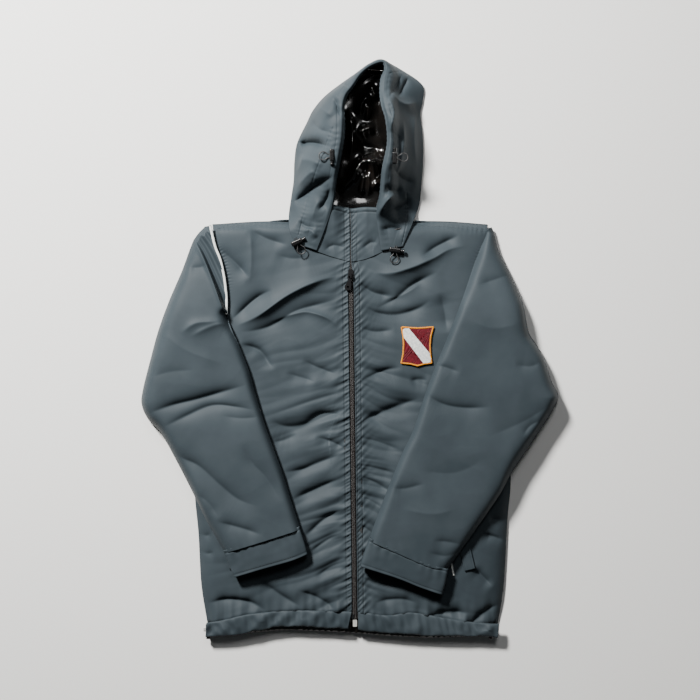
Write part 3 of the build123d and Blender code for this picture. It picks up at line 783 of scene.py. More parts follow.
def back_lining():
    right = [(-258, -528)] + shift(back_edge("right"), 6) + [(-232, 190), (-246, 226)]
    left = [(266, -530)] + shift(back_edge("left"), -6) + [(236, 190), (246, 226)]
    top = [right[-1], (-92, 232), (0, 224), (96, 232), left[-1]]
    bottom = [right[0]] + shift(BACK_HEM[1:-1], 0, -0.5) + [left[0]]
    xy = patch(bottom, top, right, left, 300, 200)
    x, y = xy[..., 0], xy[..., 1]
    over_hem = ease((-y - 494) / 8)
    ruffle = np.cos(2 * np.pi * x / 11 + 3 * noise(x, y * 0.4, 24, 61))
    ruffle = ruffle * np.exp(-np.clip(y + 530, 0, 999) / 30)
    z = flat_layer(x, y, 3.6, 57, 2.5) + over_hem * 4.2 + 2.2 * ruffle
    layer("back_lining", level(xy, z), LINING_T, "lining", "laid")


BACK_FOLDS = [
    ([(-200, -300), (-60, -330), (90, -310)], 4.0, 20, 14),
    ([(-150, -80), (0, -60), (160, -90)], 4.0, 18, 26),
    ([(-210, 60), (-140, 90), (-60, 110)], 4.0, 16, 12),
    ([(60, 60), (150, 30), (220, -40)], 4.0, 18, 12),
]


def front_lining(side):
    s = SIDES[side]
    edge = shift([p for p in SIDE_EDGE[side] if -480 < p[1] < 150], -s * 28)
    edge = [(edge[0][0], -480)] + edge + [(s * 205, 195)]
    top = [edge[-1], (s * 130, 190), (s * 64, 182), (s * 9, 156)]
    inner = [(zip_x(y) + s * 9, y) for y in (-480, -240, 0, 156)]
    xy = patch([edge[0], (s * 130, -480), inner[0]], top, edge, inner, 160, 60)
    if s > 0:
        xy = xy[:, ::-1]
    z = flat_layer(xy[..., 0], xy[..., 1], 8.6, 71, 0.7)
    layer(f"front_lining_{side}", level(xy, z), LINING_T, "lining", "hung")


def pocket_bags():
    parts, grids = [], []
    angle = np.linspace(0, 2 * np.pi, 64, endpoint=False)
    for s in SIDES.values():
        ring_x = s * 152 + np.sign(np.cos(angle)) * np.abs(np.cos(angle)) ** 0.5 * 52
        ring_z = 11.6 + np.sign(np.sin(angle)) * np.abs(np.sin(angle)) ** 0.7 * 1.6
        x, y = np.meshgrid(ring_x, np.linspace(-403, -252, 50))
        grid = np.dstack([x, y, ring_z + 0.3 * noise(x, y, 30, 3)])
        grids.append(grid)
        parts.append(closed_shell(grid[::-1], 0.5, wrap=True))
    obj = joined("pocket_bags_cloth", parts, "lining_matt")
    stand_in(obj, "torso", "pocket_bags")
    declare(obj, grids, "hung", wrap=True)


# ---------------------------------------------------------------- hem

HEM_EDGE = {
    "right": [(-268, -531), (-216, -528), (-170, -519), (-126, -511.5), (-60, -513), (-4, -516)],
    "left": [(15, -518), (85, -525), (153, -529), (244, -530), (274, -532)],
}
BACK_HEM = [
    (-262, -529), (-190, -526), (-126, -521), (-60, -523), (0, -526), (90, -533), (160, -535), (272, -533),
]
# Heights of the middle of the hem casing: the fronts' and the back's
HEM_Z = 21.6
BACK_HEM_Z = 3.6
# Radius of the elastic in the hem and the neck
DRAWCORD_R = 1.25


def hem_part(upper, lower, z, half, seed, stations):
    """A gathered hem casing as a closed tube of cloth between two edges."""
    u, w = spline(upper, stations), spline(lower, stations)
    x = (u[:, 0] + w[:, 0]) / 2
    angle = np.linspace(0, 2 * np.pi, 40, endpoint=False)
    c, s = np.cos(angle), np.sin(angle)
    rows = []
    for i in range(stations):
        middle = (u[i] + w[i]) / 2
        reach = (u[i] - w[i]) / 2
        ruffle = 2.0 * noise(x[i] + 5 * c, 7 * c, 12, seed)
        ruffle = ruffle + 2.3 * noise(x[i] - 9 * c, 9 * c, 30, seed + 1)
        lift = z + half * np.sign(s) * np.abs(s) ** 0.6 + 1.5 * ruffle * (s > -0.2) * (1 - 0.4 * c * c)
        edge_wave = 1.2 * ruffle * (c < 0)
        rows.append(np.stack([middle[0] + c * reach[0], middle[1] + c * reach[1] + edge_wave * 0.7, lift], 1))
    return np.array(rows)


def hem_casing():
    grids = []
    for side in SIDES:
        upper = shift(HEM_LINE[side], 0, 1.5)
        lower = HEM_EDGE[side][:: -SIDES[side]]
        grids.append(hem_part(upper, lower, HEM_Z, 3.0, 81, 260))
    back_upper = [(-262, -507), (-126, -500), (0, -504), (272, -510)]
    back = hem_part(back_upper, BACK_HEM, BACK_HEM_Z, 2.6, 85, 380)
    grids.append(back)
    parts = []
    for k, grid in enumerate(grids):
        ordered = grid if k == 1 else grid[::-1]
        parts.append(closed_shell(ordered, 0.9, wrap=True))
    obj = joined("hem_casing_cloth", parts, "shell")
    stand_in(obj, "torso", "hem_casing")
    declare(obj, grids, "gathered", wrap=True)


def hem_drawcord():
    cords = []
    for side in SIDES:
        lower = HEM_EDGE[side][:: -SIDES[side]]
        middle = (spline(HEM_LINE[side], 40) + spline(lower, 40)) / 2
        path = np.column_stack([middle[1:-1], np.full(38, HEM_Z)])
        cords.append(tube(path, DRAWCORD_R, DRAWCORD_R))
    back_path = np.column_stack([spline(shift(BACK_HEM, 0, 12), 60)[2:-2], np.full(56, 3.7)])
    cords.append(tube(back_path, DRAWCORD_R, DRAWCORD_R))
    stand_in(joined("hem_drawcord_elastic", cords, "cord"), "torso", "hem_drawcord")


# ---------------------------------------------------------------- sleeves

SLEEVE = {
    "right": {
        "outer": [
            (-231, -374), (-263, -318), (-292, -267), (-320, -213), (-351, -157), (-376, -129), (-388, -102),
            (-386, -74), (-372, -18), (-357, 37), (-337, 92), (-313, 148), (-292, 203), (-273, 227),
            (-261, 232),
        ],
        "inner": [
            (-91.5, -330), (-111, -270), (-126, -222), (-153, -148), (-174, -83), (-187, -37), (-205, 9),
            (-220, 37), (-229, 66),
        ],
        "head": [(-261, 232), (-250.5, 192), (-241, 166), (-233.5, 134), (-230, 94), (-229, 66)],
        "cuff": [(-231, -374), (-160, -352), (-91.5, -330)],
    },
    "left": {
        "outer": [
            (178, -407), (211, -361), (270, -276), (302, -227), (355, -148), (379, -110), (388, -86),
            (376, -58), (361, -15), (346, 12), (333, 34), (324, 80), (314, 106), (298, 142), (277, 185),
            (268, 218), (264, 229),
        ],
        "inner": [
            (36, -351), (42, -329), (70, -255), (96, -190), (116, -148), (142, -70), (159, -26), (185, 37),
            (210, 102), (231, 161), (246, 203), (251, 218),
        ],
        "head": [(264, 229), (258, 226), (251, 218)],
        "cuff": [(178, -407), (139, -396), (91, -375), (36, -351)],
    },
}
SLEEVE_FOLDS = {
    "right": [
        ([(-312, 28), (-285, 48), (-255, 52), (-228, 54)], 2.6, 6, 9),
        ([(-296, 22), (-262, 40), (-232, 48), (-216, 34)], 1.8, 4, 7),
        ([(-380, -120), (-329, -102), (-285, -91), (-239, -78), (-184, -62)], -5.4, 8, 15),
        ([(-350, -146), (-303, -122), (-255, -102), (-210, -104), (-166, -112)], -3.6, 6, 13),
        ([(-350, -168), (-313, -196), (-278, -213), (-239, -248), (-205, -274), (-160, -290)], -4.6, 11, 24),
        ([(-200, -166), (-181, -205), (-155, -233), (-124, -282)], -2.6, 14, 12),
        ([(-248, -314), (-198, -327), (-158, -340)], -3.0, 7, 12),
        ([(-300, 152), (-278, 152), (-262, 158)], -2.0, 8, 12),
        ([(-370, -52), (-330, -40), (-280, -36)], -1.6, 14, 22),
        ([(-352, 40), (-300, 0), (-220, -30)], 1.6, 26, 26),
        ([(-240, -120), (-200, -125), (-160, -122)], -1.4, 8, 12),
        ([(-290, -262), (-262, -278), (-240, -310)], -2.0, 8, 12),
    ],
    "left": [
        ([(148, -28), (170, -30), (204, -42)], -2.2, 6, 12),
        ([(132, -76), (168, -98), (210, -106), (262, -104)], -3.4, 7, 16),
        ([(74, -252), (100, -254), (140, -244)], -2.0, 8, 14),
        ([(232, 118), (262, 128), (306, 143)], -2.2, 10, 16),
        ([(150, -350), (180, -352), (214, -360)], -2.0, 7, 12),
        ([(140, -370), (176, -378), (210, -368)], -1.8, 7, 12),
        ([(210, 60), (260, 40), (320, 50)], 1.5, 22, 26),
        ([(380, -92), (320, -130), (250, -160)], -1.8, 18, 26),
        ([(250, -200), (190, -225), (120, -220)], -1.6, 20, 24),
        ([(200, -290), (150, -300), (90, -290)], 1.5, 16, 20),
        ([(356, -20), (330, -30), (300, -26)], -1.6, 8, 12),
        ([(352, -128), (330, -140), (316, -160)], -2.0, 7, 10),
    ],
}
CREASE = [(-296, 214), (-288, 203), (-272, 176), (-250, 124), (-236, 86), (-227, 62)]


def lowest(side, x, y):
    """Underside of a sleeve: on the surface outboard of the body, on the front over it."""
    d = near_line(x, y, spline(SIDE_EDGE[side], 90))[0] * SIDES[side]
    return 3 + 25 * ease((d + 8) / 34) * ease((260 - y) / 80)


def sleeve_height(side, x, y):
    """Height of the upper side of a sleeve."""
    shape = SLEEVE[side]
    d_out = away(x, y, shape["outer"], 110)
    d_in = away(x, y, shape["inner"], 90)
    top = 28 + 23 * ease((236 - y) / 190)
    drop_to_edge = top - (lowest(side, x, y) + 7)
    z = top - drop_to_edge * np.exp(-((d_out / 8.5) ** 1.1)) - drop_to_edge * np.exp(-((d_in / 5) ** 1.2))
    calm = ease(np.minimum(d_out / 30, d_in / 16)) * 0.8 + 0.2
    loose = crumple(x, y, 101 if side == "right" else 131, 1.1, 0.25)
    z += calm * (0.85 * folds(x, y, SLEEVE_FOLDS[side]) + loose)
    if side == "right":
        d = near_line(x, y, spline(CREASE, 50))[0]
        to_head = away(x, y, shape["head"], 50)
        under = ease((d + 1.5) / 5) * ease((y - 56) / 18)
        dip = 22.5 + 5 * np.exp(-to_head / 9) + 2.2 * np.cos(d * 0.42 + 0.02 * y) * ease(d / 10)
        z = z * (1 - under) + np.minimum(z, dip) * under
        z += 3.0 * np.exp(-((d / 5.5) ** 2)) * (1 - under) * ease((y - 60) / 40)
    waves = np.cos(2 * np.pi * (x * 0.95 + y * 0.3) / 17 + 2 * noise(x, y, 40, 5))
    return z + 0.35 * waves * np.exp(-away(x, y, shape["cuff"], 40) / 12)


SLEEVE_ROWS = 400


def sleeve(side):
    """The upper and under sides of a sleeve and its lining, each with its grid."""
    shape = SLEEVE[side]
    xy = patch(shape["cuff"], shape["head"], shape["outer"], shape["inner"], SLEEVE_ROWS, 130, dense_ends)
    if side == "left":
        xy = xy[:, ::-1]
    upper = level(xy, sleeve_height(side, xy[..., 0], xy[..., 1]))
    coarse = upper[::3, ::3]
    x, y = coarse[..., 0], coarse[..., 1]
    d = np.minimum(away(x, y, shape["outer"], 90), away(x, y, shape["inner"], 90))
    under = np.dstack([x, y, lowest(side, x, y) + 0.6 + 5.0 * np.exp(-d / 5)])
    pieces = []
    for name, grid, turn in (("upper", upper, False), ("under", under, True)):
        facing = grid[:, ::-1] if turn else grid
        obj = cloth(f"sleeve_{name}_{side}_cloth", facing, SHELL_T, "shell")
        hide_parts(f"sleeve_{name}_{side}")
        pieces.append((obj, grid))
    inside = upper[: int(SLEEVE_ROWS * 0.82) : 4, 8:-8:3].copy()
    inside[..., 2] -= 2.6
    floor = inside[:, ::-1].copy()
    floor[..., 2] = lowest(side, floor[..., 0], floor[..., 1]) + 2.6
    ring = np.concatenate([inside, floor], 1)
    lining = cloth(f"sleeve_lining_{side}_cloth", ring, LINING_T, "lining", wrap=True)
    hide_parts(f"sleeve_lining_{side}")
    pieces.append((lining, ring))
    return pieces


# Each cuff's seam and its open edge
CUFF = {
    "right": (
        [(-231, -374), (-91.5, -330)],
        [(-213, -418), (-160, -402), (-107, -387), (-78, -375.5)],
    ),
    "left": (
        [(36, -351), (91, -375), (139, -396), (178, -407)],
        [(21, -398), (85, -418), (130, -436), (168, -449.5)],
    ),
}


def cuff(side):
    """The turned cuff: a flattened tube of double cloth, open at its end."""
    s = SIDES[side]
    seam, mouth = (spline(line, 60) for line in CUFF[side])
    angle = np.linspace(0, 2 * np.pi, 140, endpoint=False)
    c, sn = np.cos(angle), np.sin(angle)
    across = np.sign(c) * np.abs(c) ** 0.55
    share = (across + 1) / 2
    rows = []
    for v in np.linspace(-0.12, 1.0, 40):
        line = seam * (1 - v) + mouth * v
        x = np.interp(share, np.linspace(0, 1, 60), line[:, 0])
        y = np.interp(share, np.linspace(0, 1, 60), line[:, 1])
        half = 10.8 - 1.6 * max(v, 0) - 1.5 * np.exp(-((v / 0.03) ** 2))
        z = 37.8 + half * np.sign(sn) * np.abs(sn) ** 0.42
        wave = np.cos(2 * np.pi * share * 9 + 2 * noise(x, y, 50, 3)) * np.exp(-v * 5)
        z = z + (sn > 0) * (0.9 * wave + 1.6 * noise(x, y, 46, 12 + s) + 0.5 * noise(x, y, 17, 5))
        z = z - (sn > 0) * 1.4 * np.exp(-(((v - 0.9) * 46 / 1.6) ** 2)) * 0.5
        bulge = 1.0 + 0.01 * np.sin(np.pi * max(v, 0))
        mid_x, mid_y = line[:, 0].mean(), line[:, 1].mean()
        rows.append(np.stack([mid_x + (x - mid_x) * bulge, mid_y + (y - mid_y) * bulge, z], 1))
    grid = np.array(rows)
    lower_first = grid if s < 0 else grid[:, ::-1]
    obj = cloth(f"cuff_hem_{side}_cloth", lower_first, 2.0, "shell", wrap=True)
    stand_in(obj, f"sleeve_{side}", f"cuff_hem_{side}")
    return obj, grid


# ---------------------------------------------------------------- collar and hood

# Round the hood from the right of the neck over the crown: outer edge, edge at the face, height there
HOOD = [
    ((-100, 197), (-62, 184), 26.5),
    ((-111, 220), (-50, 214), 31),
    ((-113.5, 250), (-37, 250), 37),
    ((-109, 285), (-30, 280), 50),
    ((-104.5, 316), (-26, 311), 66),
    ((-103, 352), (-18, 350), 76),
    ((-98, 386), (-12, 384), 80),
    ((-80, 424), (-11, 414), 80),
    ((-68, 448), (-12, 438), 77),
    ((-47, 473), (-7, 462), 72),
    ((-15, 498), (6, 483), 62),
    ((13, 516), (19, 505), 52),
    ((37, 533), (38, 522), 43),
    ((60, 540), (60, 530), 38),
    ((100, 520), (65, 517), 42),
    ((135, 494), (58, 497), 52),
    ((135.5, 466), (56, 470), 62),
    ((131, 440), (59, 444), 72),
    ((135, 402), (66, 418), 78),
    ((136, 360), (69, 376), 80),
    ((133, 312), (60, 328), 76),
    ((129.5, 276), (56, 284), 58),
    ((118, 240), (49, 248), 36.5),
    ((97, 191), (58, 183), 26.5),
]
HOOD_FOLDS = [
    ([(-114, 388), (-88, 386), (-62, 381), (-34, 366)], -11.5, 5, 16),
    ([(-112, 270), (-88, 286), (-60, 304), (-24, 318)], -9.0, 6, 20),
    ([(-100, 300), (-80, 318), (-60, 330)], 3.0, 12, 9),
    ([(-60, 254), (-44, 276), (-34, 300)], -4.5, 5, 10),
    ([(-108, 322), (-92, 340), (-84, 364)], 2.6, 9, 6),
    ([(-72, 430), (-56, 404), (-30, 392)], -3.0, 6, 11),
    ([(-100, 352), (-72, 346), (-50, 330)], 2.5, 12, 12),
    ([(-30, 464), (-21, 435), (-12, 418)], -2.6, 4, 5),
    ([(-20, 500), (-8, 484), (2, 474)], -3.0, 5, 6),
    ([(-62, 452), (-48, 436), (-30, 420)], 2.4, 12, 10),
    ([(46, 240), (60, 262), (72, 276), (90, 288)], 8.0, 6, 8),
    ([(72, 256), (90, 262), (116, 284)], -4.0, 6, 12),
    ([(72, 340), (92, 318), (124, 310)], -3.6, 7, 14),
    ([(68, 300), (88, 330), (98, 380), (96, 430)], 3.4, 9, 5),
    ([(52, 222), (80, 226), (104, 218)], -3.4, 6, 12),
    ([(60, 300), (78, 292), (98, 298)], -3.4, 5, 9),
    ([(70, 455), (82, 482), (97, 512)], -4.0, 4, 9),
    ([(88, 462), (98, 486), (110, 510)], -3.4, 3, 7),
    ([(66, 478), (84, 460), (104, 452), (126, 462)], 4.5, 7, 12),
    ([(66, 462), (80, 432), (70, 390)], 5.0, 8, 5),
    ([(74, 410), (90, 380), (88, 340)], -2.4, 8, 9),
    ([(124, 455), (118, 400), (122, 340)], 1.8, 8, 8),
    ([(-96, 240), (-80, 228), (-62, 226)], -2.6, 6, 9),
    ([(-88, 216), (-74, 222), (-60, 206)], 2.2, 5, 6),
    ([(-50, 280), (-64, 262), (-70, 236)], 2.0, 10, 10),
]
HOOD_SEAMS = [
    [(-30, 404), (-52, 350), (-74, 294), (-86, 250), (-95, 212)],
    [(96, 196), (105, 236), (106, 262), (104, 292)],
    [(70, 506), (94, 518)],
]


# Rows of the hood's grid round from the neck over the crown, and columns from its outer edge to the face
HOOD_ROWS = 520
HOOD_COLUMNS = 90


def hood_ring():
    """The hood from outer edge to face, and the height of the face edge at each row."""
    own = np.linspace(0, 1, HOOD_ROWS)
    pairs = np.array([[*h[0], *h[1], h[2]] for h in HOOD], float)
    ends = np.vstack([2 * pairs[0] - pairs[1], pairs, 2 * pairs[-1] - pairs[-2]])
    place = own * (len(HOOD) - 1)
    i = np.minimum(place.astype(int), len(HOOD) - 2)
    t = (place - i)[:, None]
    a, b, c, d = ends[i], ends[i + 1], ends[i + 2], ends[i + 3]
    row = catmull_rom(a, b, c, d, t)
    v = np.linspace(0, 1, HOOD_COLUMNS)
    share = v[None, :, None]
    return row[:, None, 0:2] * (1 - share) + row[:, None, 2:4] * share, row[:, 4], v


def hood_shell():
    """Both side panels of the hood, each with its grid, and the grid of the whole."""
    xy, rim, v = hood_ring()
    x, y = xy[..., 0], xy[..., 1]
    width = np.linalg.norm(xy[:, -1] - xy[:, 0], axis=1)[:, None]
    d_out = v[None] * width
    rim = rim[:, None]
    power = 2.6 - 1.55 * ease((x - 60) / 30) * ease((y - 200) / 60)
    share = (1 - (1 - v[None]) ** power) * (1 - 0.06 * ease((v[None] - 0.93) / 0.07))
    base = 3.4 + 23.5 * ease((262 - y) / 44)
    z = base + np.maximum(rim + 2 - base, 2) * share
    calm = ease(d_out / 16) * (0.35 + 0.65 * ease((1 - v[None]) * width / 10))
    loose = calm * (1.1 * folds(x, y, HOOD_FOLDS, 1.0) + crumple(x, y, 201, 1.3, 0.4))
    z += loose + seams(x, y, HOOD_SEAMS, 0.8, 1.2, 0.4, 8)
    rim_run = run_along(xy[:, -1])[:, None]
    to_rim = (1 - v[None]) * width
    waves = np.cos(2 * np.pi * rim_run / 13 + 4 * noise(rim_run, to_rim, 40, 3))
    z += 0.4 * waves * np.exp(-np.abs(to_rim - 12) / 6)
    z -= 0.5 * np.exp(-(((to_rim - 12) / 1.2) ** 2)) * ease((y - 262) / 20)
    grid = np.dstack([x, y, np.minimum(z, 94)])
    half = 270
    pieces = []
    for name, part in (("right", grid[:half]), ("left", grid[half - 1 :])):
        obj = cloth(f"hood_panel_{name}_cloth", part[:, ::-1], SHELL_T, "shell")
        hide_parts(f"hood_panel_{name}")
        if name == "right":
            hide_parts("hood_base")
        pieces.append((obj, part))
    return pieces, grid


def hood_brim(grid):
    """The casing round the face opening, with its elastic inside."""
    edge = grid[:, -1]
    keep = edge[:, 1] > 258
    path = edge[keep][::2].copy()
    path[:, 2] -= 2.2
    run = run_along(path)
    swell = 1 + 0.16 * np.cos(2 * np.pi * run / 9 + 2 * noise(run, run * 0, 30, 3))
    casing = joined("hood_brim_cloth", [tube(path, 2.4 * swell, 1.9 * swell, 14)], "shell")
    stand_in(casing, "hood", "hood_brim")
    stand_in(joined("hood_drawcord_elastic", [tube(path[::3], 1.2, 1.2)], "cord"), "hood", "hood_drawcord")


LINING_FOLDS = [
    ([(8, 300), (14, 335), (28, 350), (42, 340), (48, 300)], 16.0, 5, 7),
    ([(20, 282), (24, 310), (28, 336)], 9.0, 4, 4),
    ([(34, 282), (35, 312), (32, 338)], 8.0, 3, 4),
    ([(-22, 292), (-8, 306), (4, 320), (10, 352)], 10.0, 6, 5),
    ([(14, 398), (30, 410), (48, 412)], 11.0, 5, 6),
    ([(10, 392), (28, 380), (50, 376), (60, 362)], -6.0, 5, 8),
    ([(18, 430), (22, 456), (34, 470), (44, 462)], 10.0, 5, 5),
    ([(30, 424), (34, 446), (30, 462)], 7.0, 3, 4),
    ([(36, 500), (44, 478), (52, 462)], 6.0, 4, 5),
    ([(-6, 452), (2, 420), (4, 380), (-4, 350)], 9.0, 5, 6),
    ([(30, 366), (40, 350), (52, 352), (62, 330)], 8.0, 4, 6),
    ([(40, 296), (52, 312), (62, 300)], 9.0, 5, 5),
]


def hood_lining():
    """Up both sides of the face opening and across the back, loose and creased."""
    xy, rim, _ = hood_ring()
    stations = []
    ys = np.linspace(262, 517, 150)
    half = 260
    right, left = xy[:half], xy[half:][::-1]
    for y in ys:
        edges = []
        for flank in (right, left):
            outer_x = np.interp(y, flank[:, 0, 1], flank[:, 0, 0])
            inner_x = np.interp(y, flank[:, -1, 1], flank[:, -1, 0])
            edges.append((outer_x, inner_x))
        rim_right = np.interp(y, right[:, -1, 1], rim[:half])
        rim_left = np.interp(y, left[:, -1, 1], rim[half:][::-1])
        (ro, ri), (lo, li) = edges
        rim_right, rim_left = rim_right - 5, rim_left - 5
        under_r = max(ro + 9, ri - 46)
        under_l = min(lo - 9, li + 46)
        section = [
            (ri - 2, rim_right), (ri - 7, rim_right - 9), ((ri + under_r) / 2, 0.62 * rim_right),
            (under_r, 0.3 * rim_right), (under_r + 12, 9), (ri * 0.6 + li * 0.4, 11),
            (ri * 0.4 + li * 0.6, 11), (under_l - 12, 9), (under_l, 0.3 * rim_left),
            ((li + under_l) / 2, 0.62 * rim_left), (li + 7, rim_left - 9), (li + 2, rim_left),
        ]
        line = spline(section, 200)
        stations.append(np.column_stack([line[:, 0], np.full(200, y), line[:, 1]]))
    grid = np.array(stations)
    x, y = grid[..., 0], grid[..., 1]
    lift = 0.65 * folds(x, y, LINING_FOLDS, 3.0) + 6.0 * noise(x, y, 42, 301) + 0.5 * noise(x, y, 17, 303)
    weight = ease((np.arange(200) - 62) / 14)[None] * ease((138 - np.arange(200)) / 14)[None]
    weight = weight * (0.15 + 0.85 * ease((y - 264) / 24))
    grid[..., 2] = np.clip(grid[..., 2] + lift * weight, 3.0, 84)
    obj = cloth("hood_lining_cloth", grid, LINING_T, "lining")
    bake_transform(obj)
    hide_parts("hood_lining")
    declare(obj, grid, "gathered")


def hood_back():
    """The panel that runs down the back of the hood, under its lining."""
    xy = hood_ring()[0]
    half = 272
    right, left = xy[:half, 0], xy[half:, 0][::-1]
    right = right[right[:, 1] > 238]
    left = left[left[:, 1] > 238]
    right[:, 0] += 2
    left[:, 0] -= 2
    rows = []
    for t in np.linspace(0, 0.985, 90):
        a = right[int(t * (len(right) - 1))]
        b = left[int(t * (len(left) - 1))]
        u = np.linspace(0, 1, 70)[:, None]
        rows.append(a * (1 - u) + b * u)
    flat = np.array(rows)
    x, y = flat[..., 0], flat[..., 1]
    grid = np.dstack([x, y, flat_layer(x, y, 1.5, 91, 1.8)])
    obj = cloth("hood_panel_centre_cloth", grid, SHELL_T, "shell")
    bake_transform(obj)
    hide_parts("hood_panel_centre")
    declare(obj, grid, "laid")


COLLAR = {
    "right": {
        "seam": [(-66, 184), (-54, 215), (-38, 250), (-30, 268)],
        "top": [(-30, 268), (-14, 265), (-1.2, 261)],
        "bottom": [(-66, 184), (-36, 173), (-1.5, 163)],
    },
    "left": {
        "seam": [(62, 182), (58, 206), (51, 240), (52, 263)],
        "top": [(52, 263), (26, 264), (1.4, 262)],
        "bottom": [(62, 182), (30, 168), (4.4, 163)],
    },
}


COLLAR_FOLDS = [
    ([(-50, 182), (-32, 194), (-8, 190)], -2.2, 6, 9),
    ([(20, 186), (40, 200), (52, 196)], -2.0, 6, 9),
]


def collar(side):
    s = SIDES[side]
    shape = COLLAR[side]
    inner = zip_line(side, 163, 262, 0.0, 10)
    xy = patch(shape["bottom"], shape["top"], shape["seam"], inner, 90, 80)
    if s > 0:
        xy = xy[:, ::-1]
    x, y = xy[..., 0], xy[..., 1]
    d = away(x, y, shape["top"], 40)
    to_zip = beside_zip(side, x, y)
    z = 25.6 + 11 * ease((y - 170) / 90) * ease((to_zip - 5) / 26)
    z += 1.2 * noise(x, y, 40, 17 + s) + 0.5 * noise(x, y, 15, 19)
    z += 1.3 * np.exp(-(((d - 3.5) / 4) ** 2)) - 0.9 * np.exp(-(((d - 9) / 1.3) ** 2)) - 3 * np.exp(-d / 1.6)
    z += zip_puckers(side, to_zip, y) * 0.8 + folds(x, y, COLLAR_FOLDS)
    return layer(f"collar_{side}", level(xy, z), SHELL_T, "shell", "hung")


def collar_back():
    right, left = [(-50, 176), (-36, 264)], [(56, 176), (50, 264)]
    xy = patch([right[0], left[0]], [right[1], left[1]], right, left, 50, 60)
    z = flat_layer(xy[..., 0], xy[..., 1], 5.4, 93, 1.2)
    layer("collar_back", level(xy, z), 1.6, "lining_matt", "hung")


def hanger_loop():
    t = np.linspace(0, 1, 40)
    rise = 7.2 + 5.0 * np.sin(np.pi * t) ** 0.35
    lines = [np.column_stack([-25 + 56 * t, np.full(40, 186.5 + w), rise]) for w in np.linspace(0, 7, 8)]
    layer("hanger_loop", np.stack(lines), 0.8, "lining_matt", "hung")


def neck_drawcord():
    route = [
        (-104, 228, 31), (-72, 224, 33), (-64, 232, 20), (-30, 246, 9.5), (34, 246, 9.5), (68, 232, 20),
        (77, 222, 33), (104, 228, 31),
    ]
    path = spline(route, 80)
    path[:, 2] = np.minimum(path[:, 2], 25.5)
    cord = joined("neck_drawcord_elastic", [tube(path, DRAWCORD_R, DRAWCORD_R)], "cord")
    stand_in(cord, "torso", "neck_drawcord")


# ---------------------------------------------------------------- zip


TAPE_Z = 21.8
CHAIN_Z = 23.3
COIL_PITCH = 1.7
COIL_STEPS = 14
# Lower end of each coil and the top of both
COIL_LOW = {"right": -489, "left": -499}
COIL_TOP = 254


def zip_tape(side):
    s = SIDES[side]
    ys = np.linspace(-499, 261, 300)
    across = np.linspace(0.8, 16, 12)
    grid = np.array([[(zip_x(y) + s * a, y, TAPE_Z) for a in across] for y in ys])
    grid[..., 2] += 0.15 * noise(grid[..., 0], grid[..., 1], 12, 3)
    if s < 0:
        grid = grid[:, ::-1]
    layer(f"zip_tape_{side}", grid, 0.6, "zip_tape", "hung")


def zip_coil(side):
    """One row of a coil zip: a flattened helix of nylon wire, meshed with the other row."""
    low = COIL_LOW[side]
    turns = int((COIL_TOP - low) / COIL_PITCH)
    t = np.arange(turns * COIL_STEPS) / COIL_STEPS
    phase = 2 * np.pi * t
    y = low + t * COIL_PITCH + (COIL_PITCH / 2 if side == "left" else 0)
    y = np.minimum(y, COIL_TOP)
    x = zip_x(y) + SIDES[side] * (1.35 - 2.05 * np.cos(phase))
    z = CHAIN_Z + 1.15 * np.sin(phase)
    wire = tube(np.column_stack([x, y, z]), 0.42, 0.42, 6)
    stand_in(joined(f"zip_coil_{side}_wire", [wire], "zip_coil"), "torso", f"zip_coil_{side}")


# ---------------------------------------------------------------- trims

BADGE_EDGE = [
    (95.4, 42.5), (110, 41.2), (125, 40.4), (140, 41.2), (154, 42.5), (149.5, 26), (148, 9.3), (148.6, -8),
    (151, -24), (138, -25.6), (125, -29), (112, -25.6), (95, -24), (98.3, -8), (99.4, 9.3), (98.4, 26),
]
# The line of each armhole's piping, and its height
PIPING = [
    ([(-260, 231), (-251, 193), (-241.5, 168), (-234.5, 138), (-231, 112), (-229.5, 92), (-229.8, 66)], 27.8),
    ([(257, 192), (254, 184), (249, 168), (241, 136), (237, 96), (240, 72)], 24.0),
]


def piping():
    parts = []
    for line, height in PIPING:
        flat = spline(line, 120)
        path = np.column_stack([flat[:, 0] + 1.2, flat[:, 1], np.full(120, height)])
        parts.append(tube(path, 2.3, 1.6, 10))
    stand_in(joined("armhole_piping_strip", parts, "piping"), "torso", "armhole_piping")


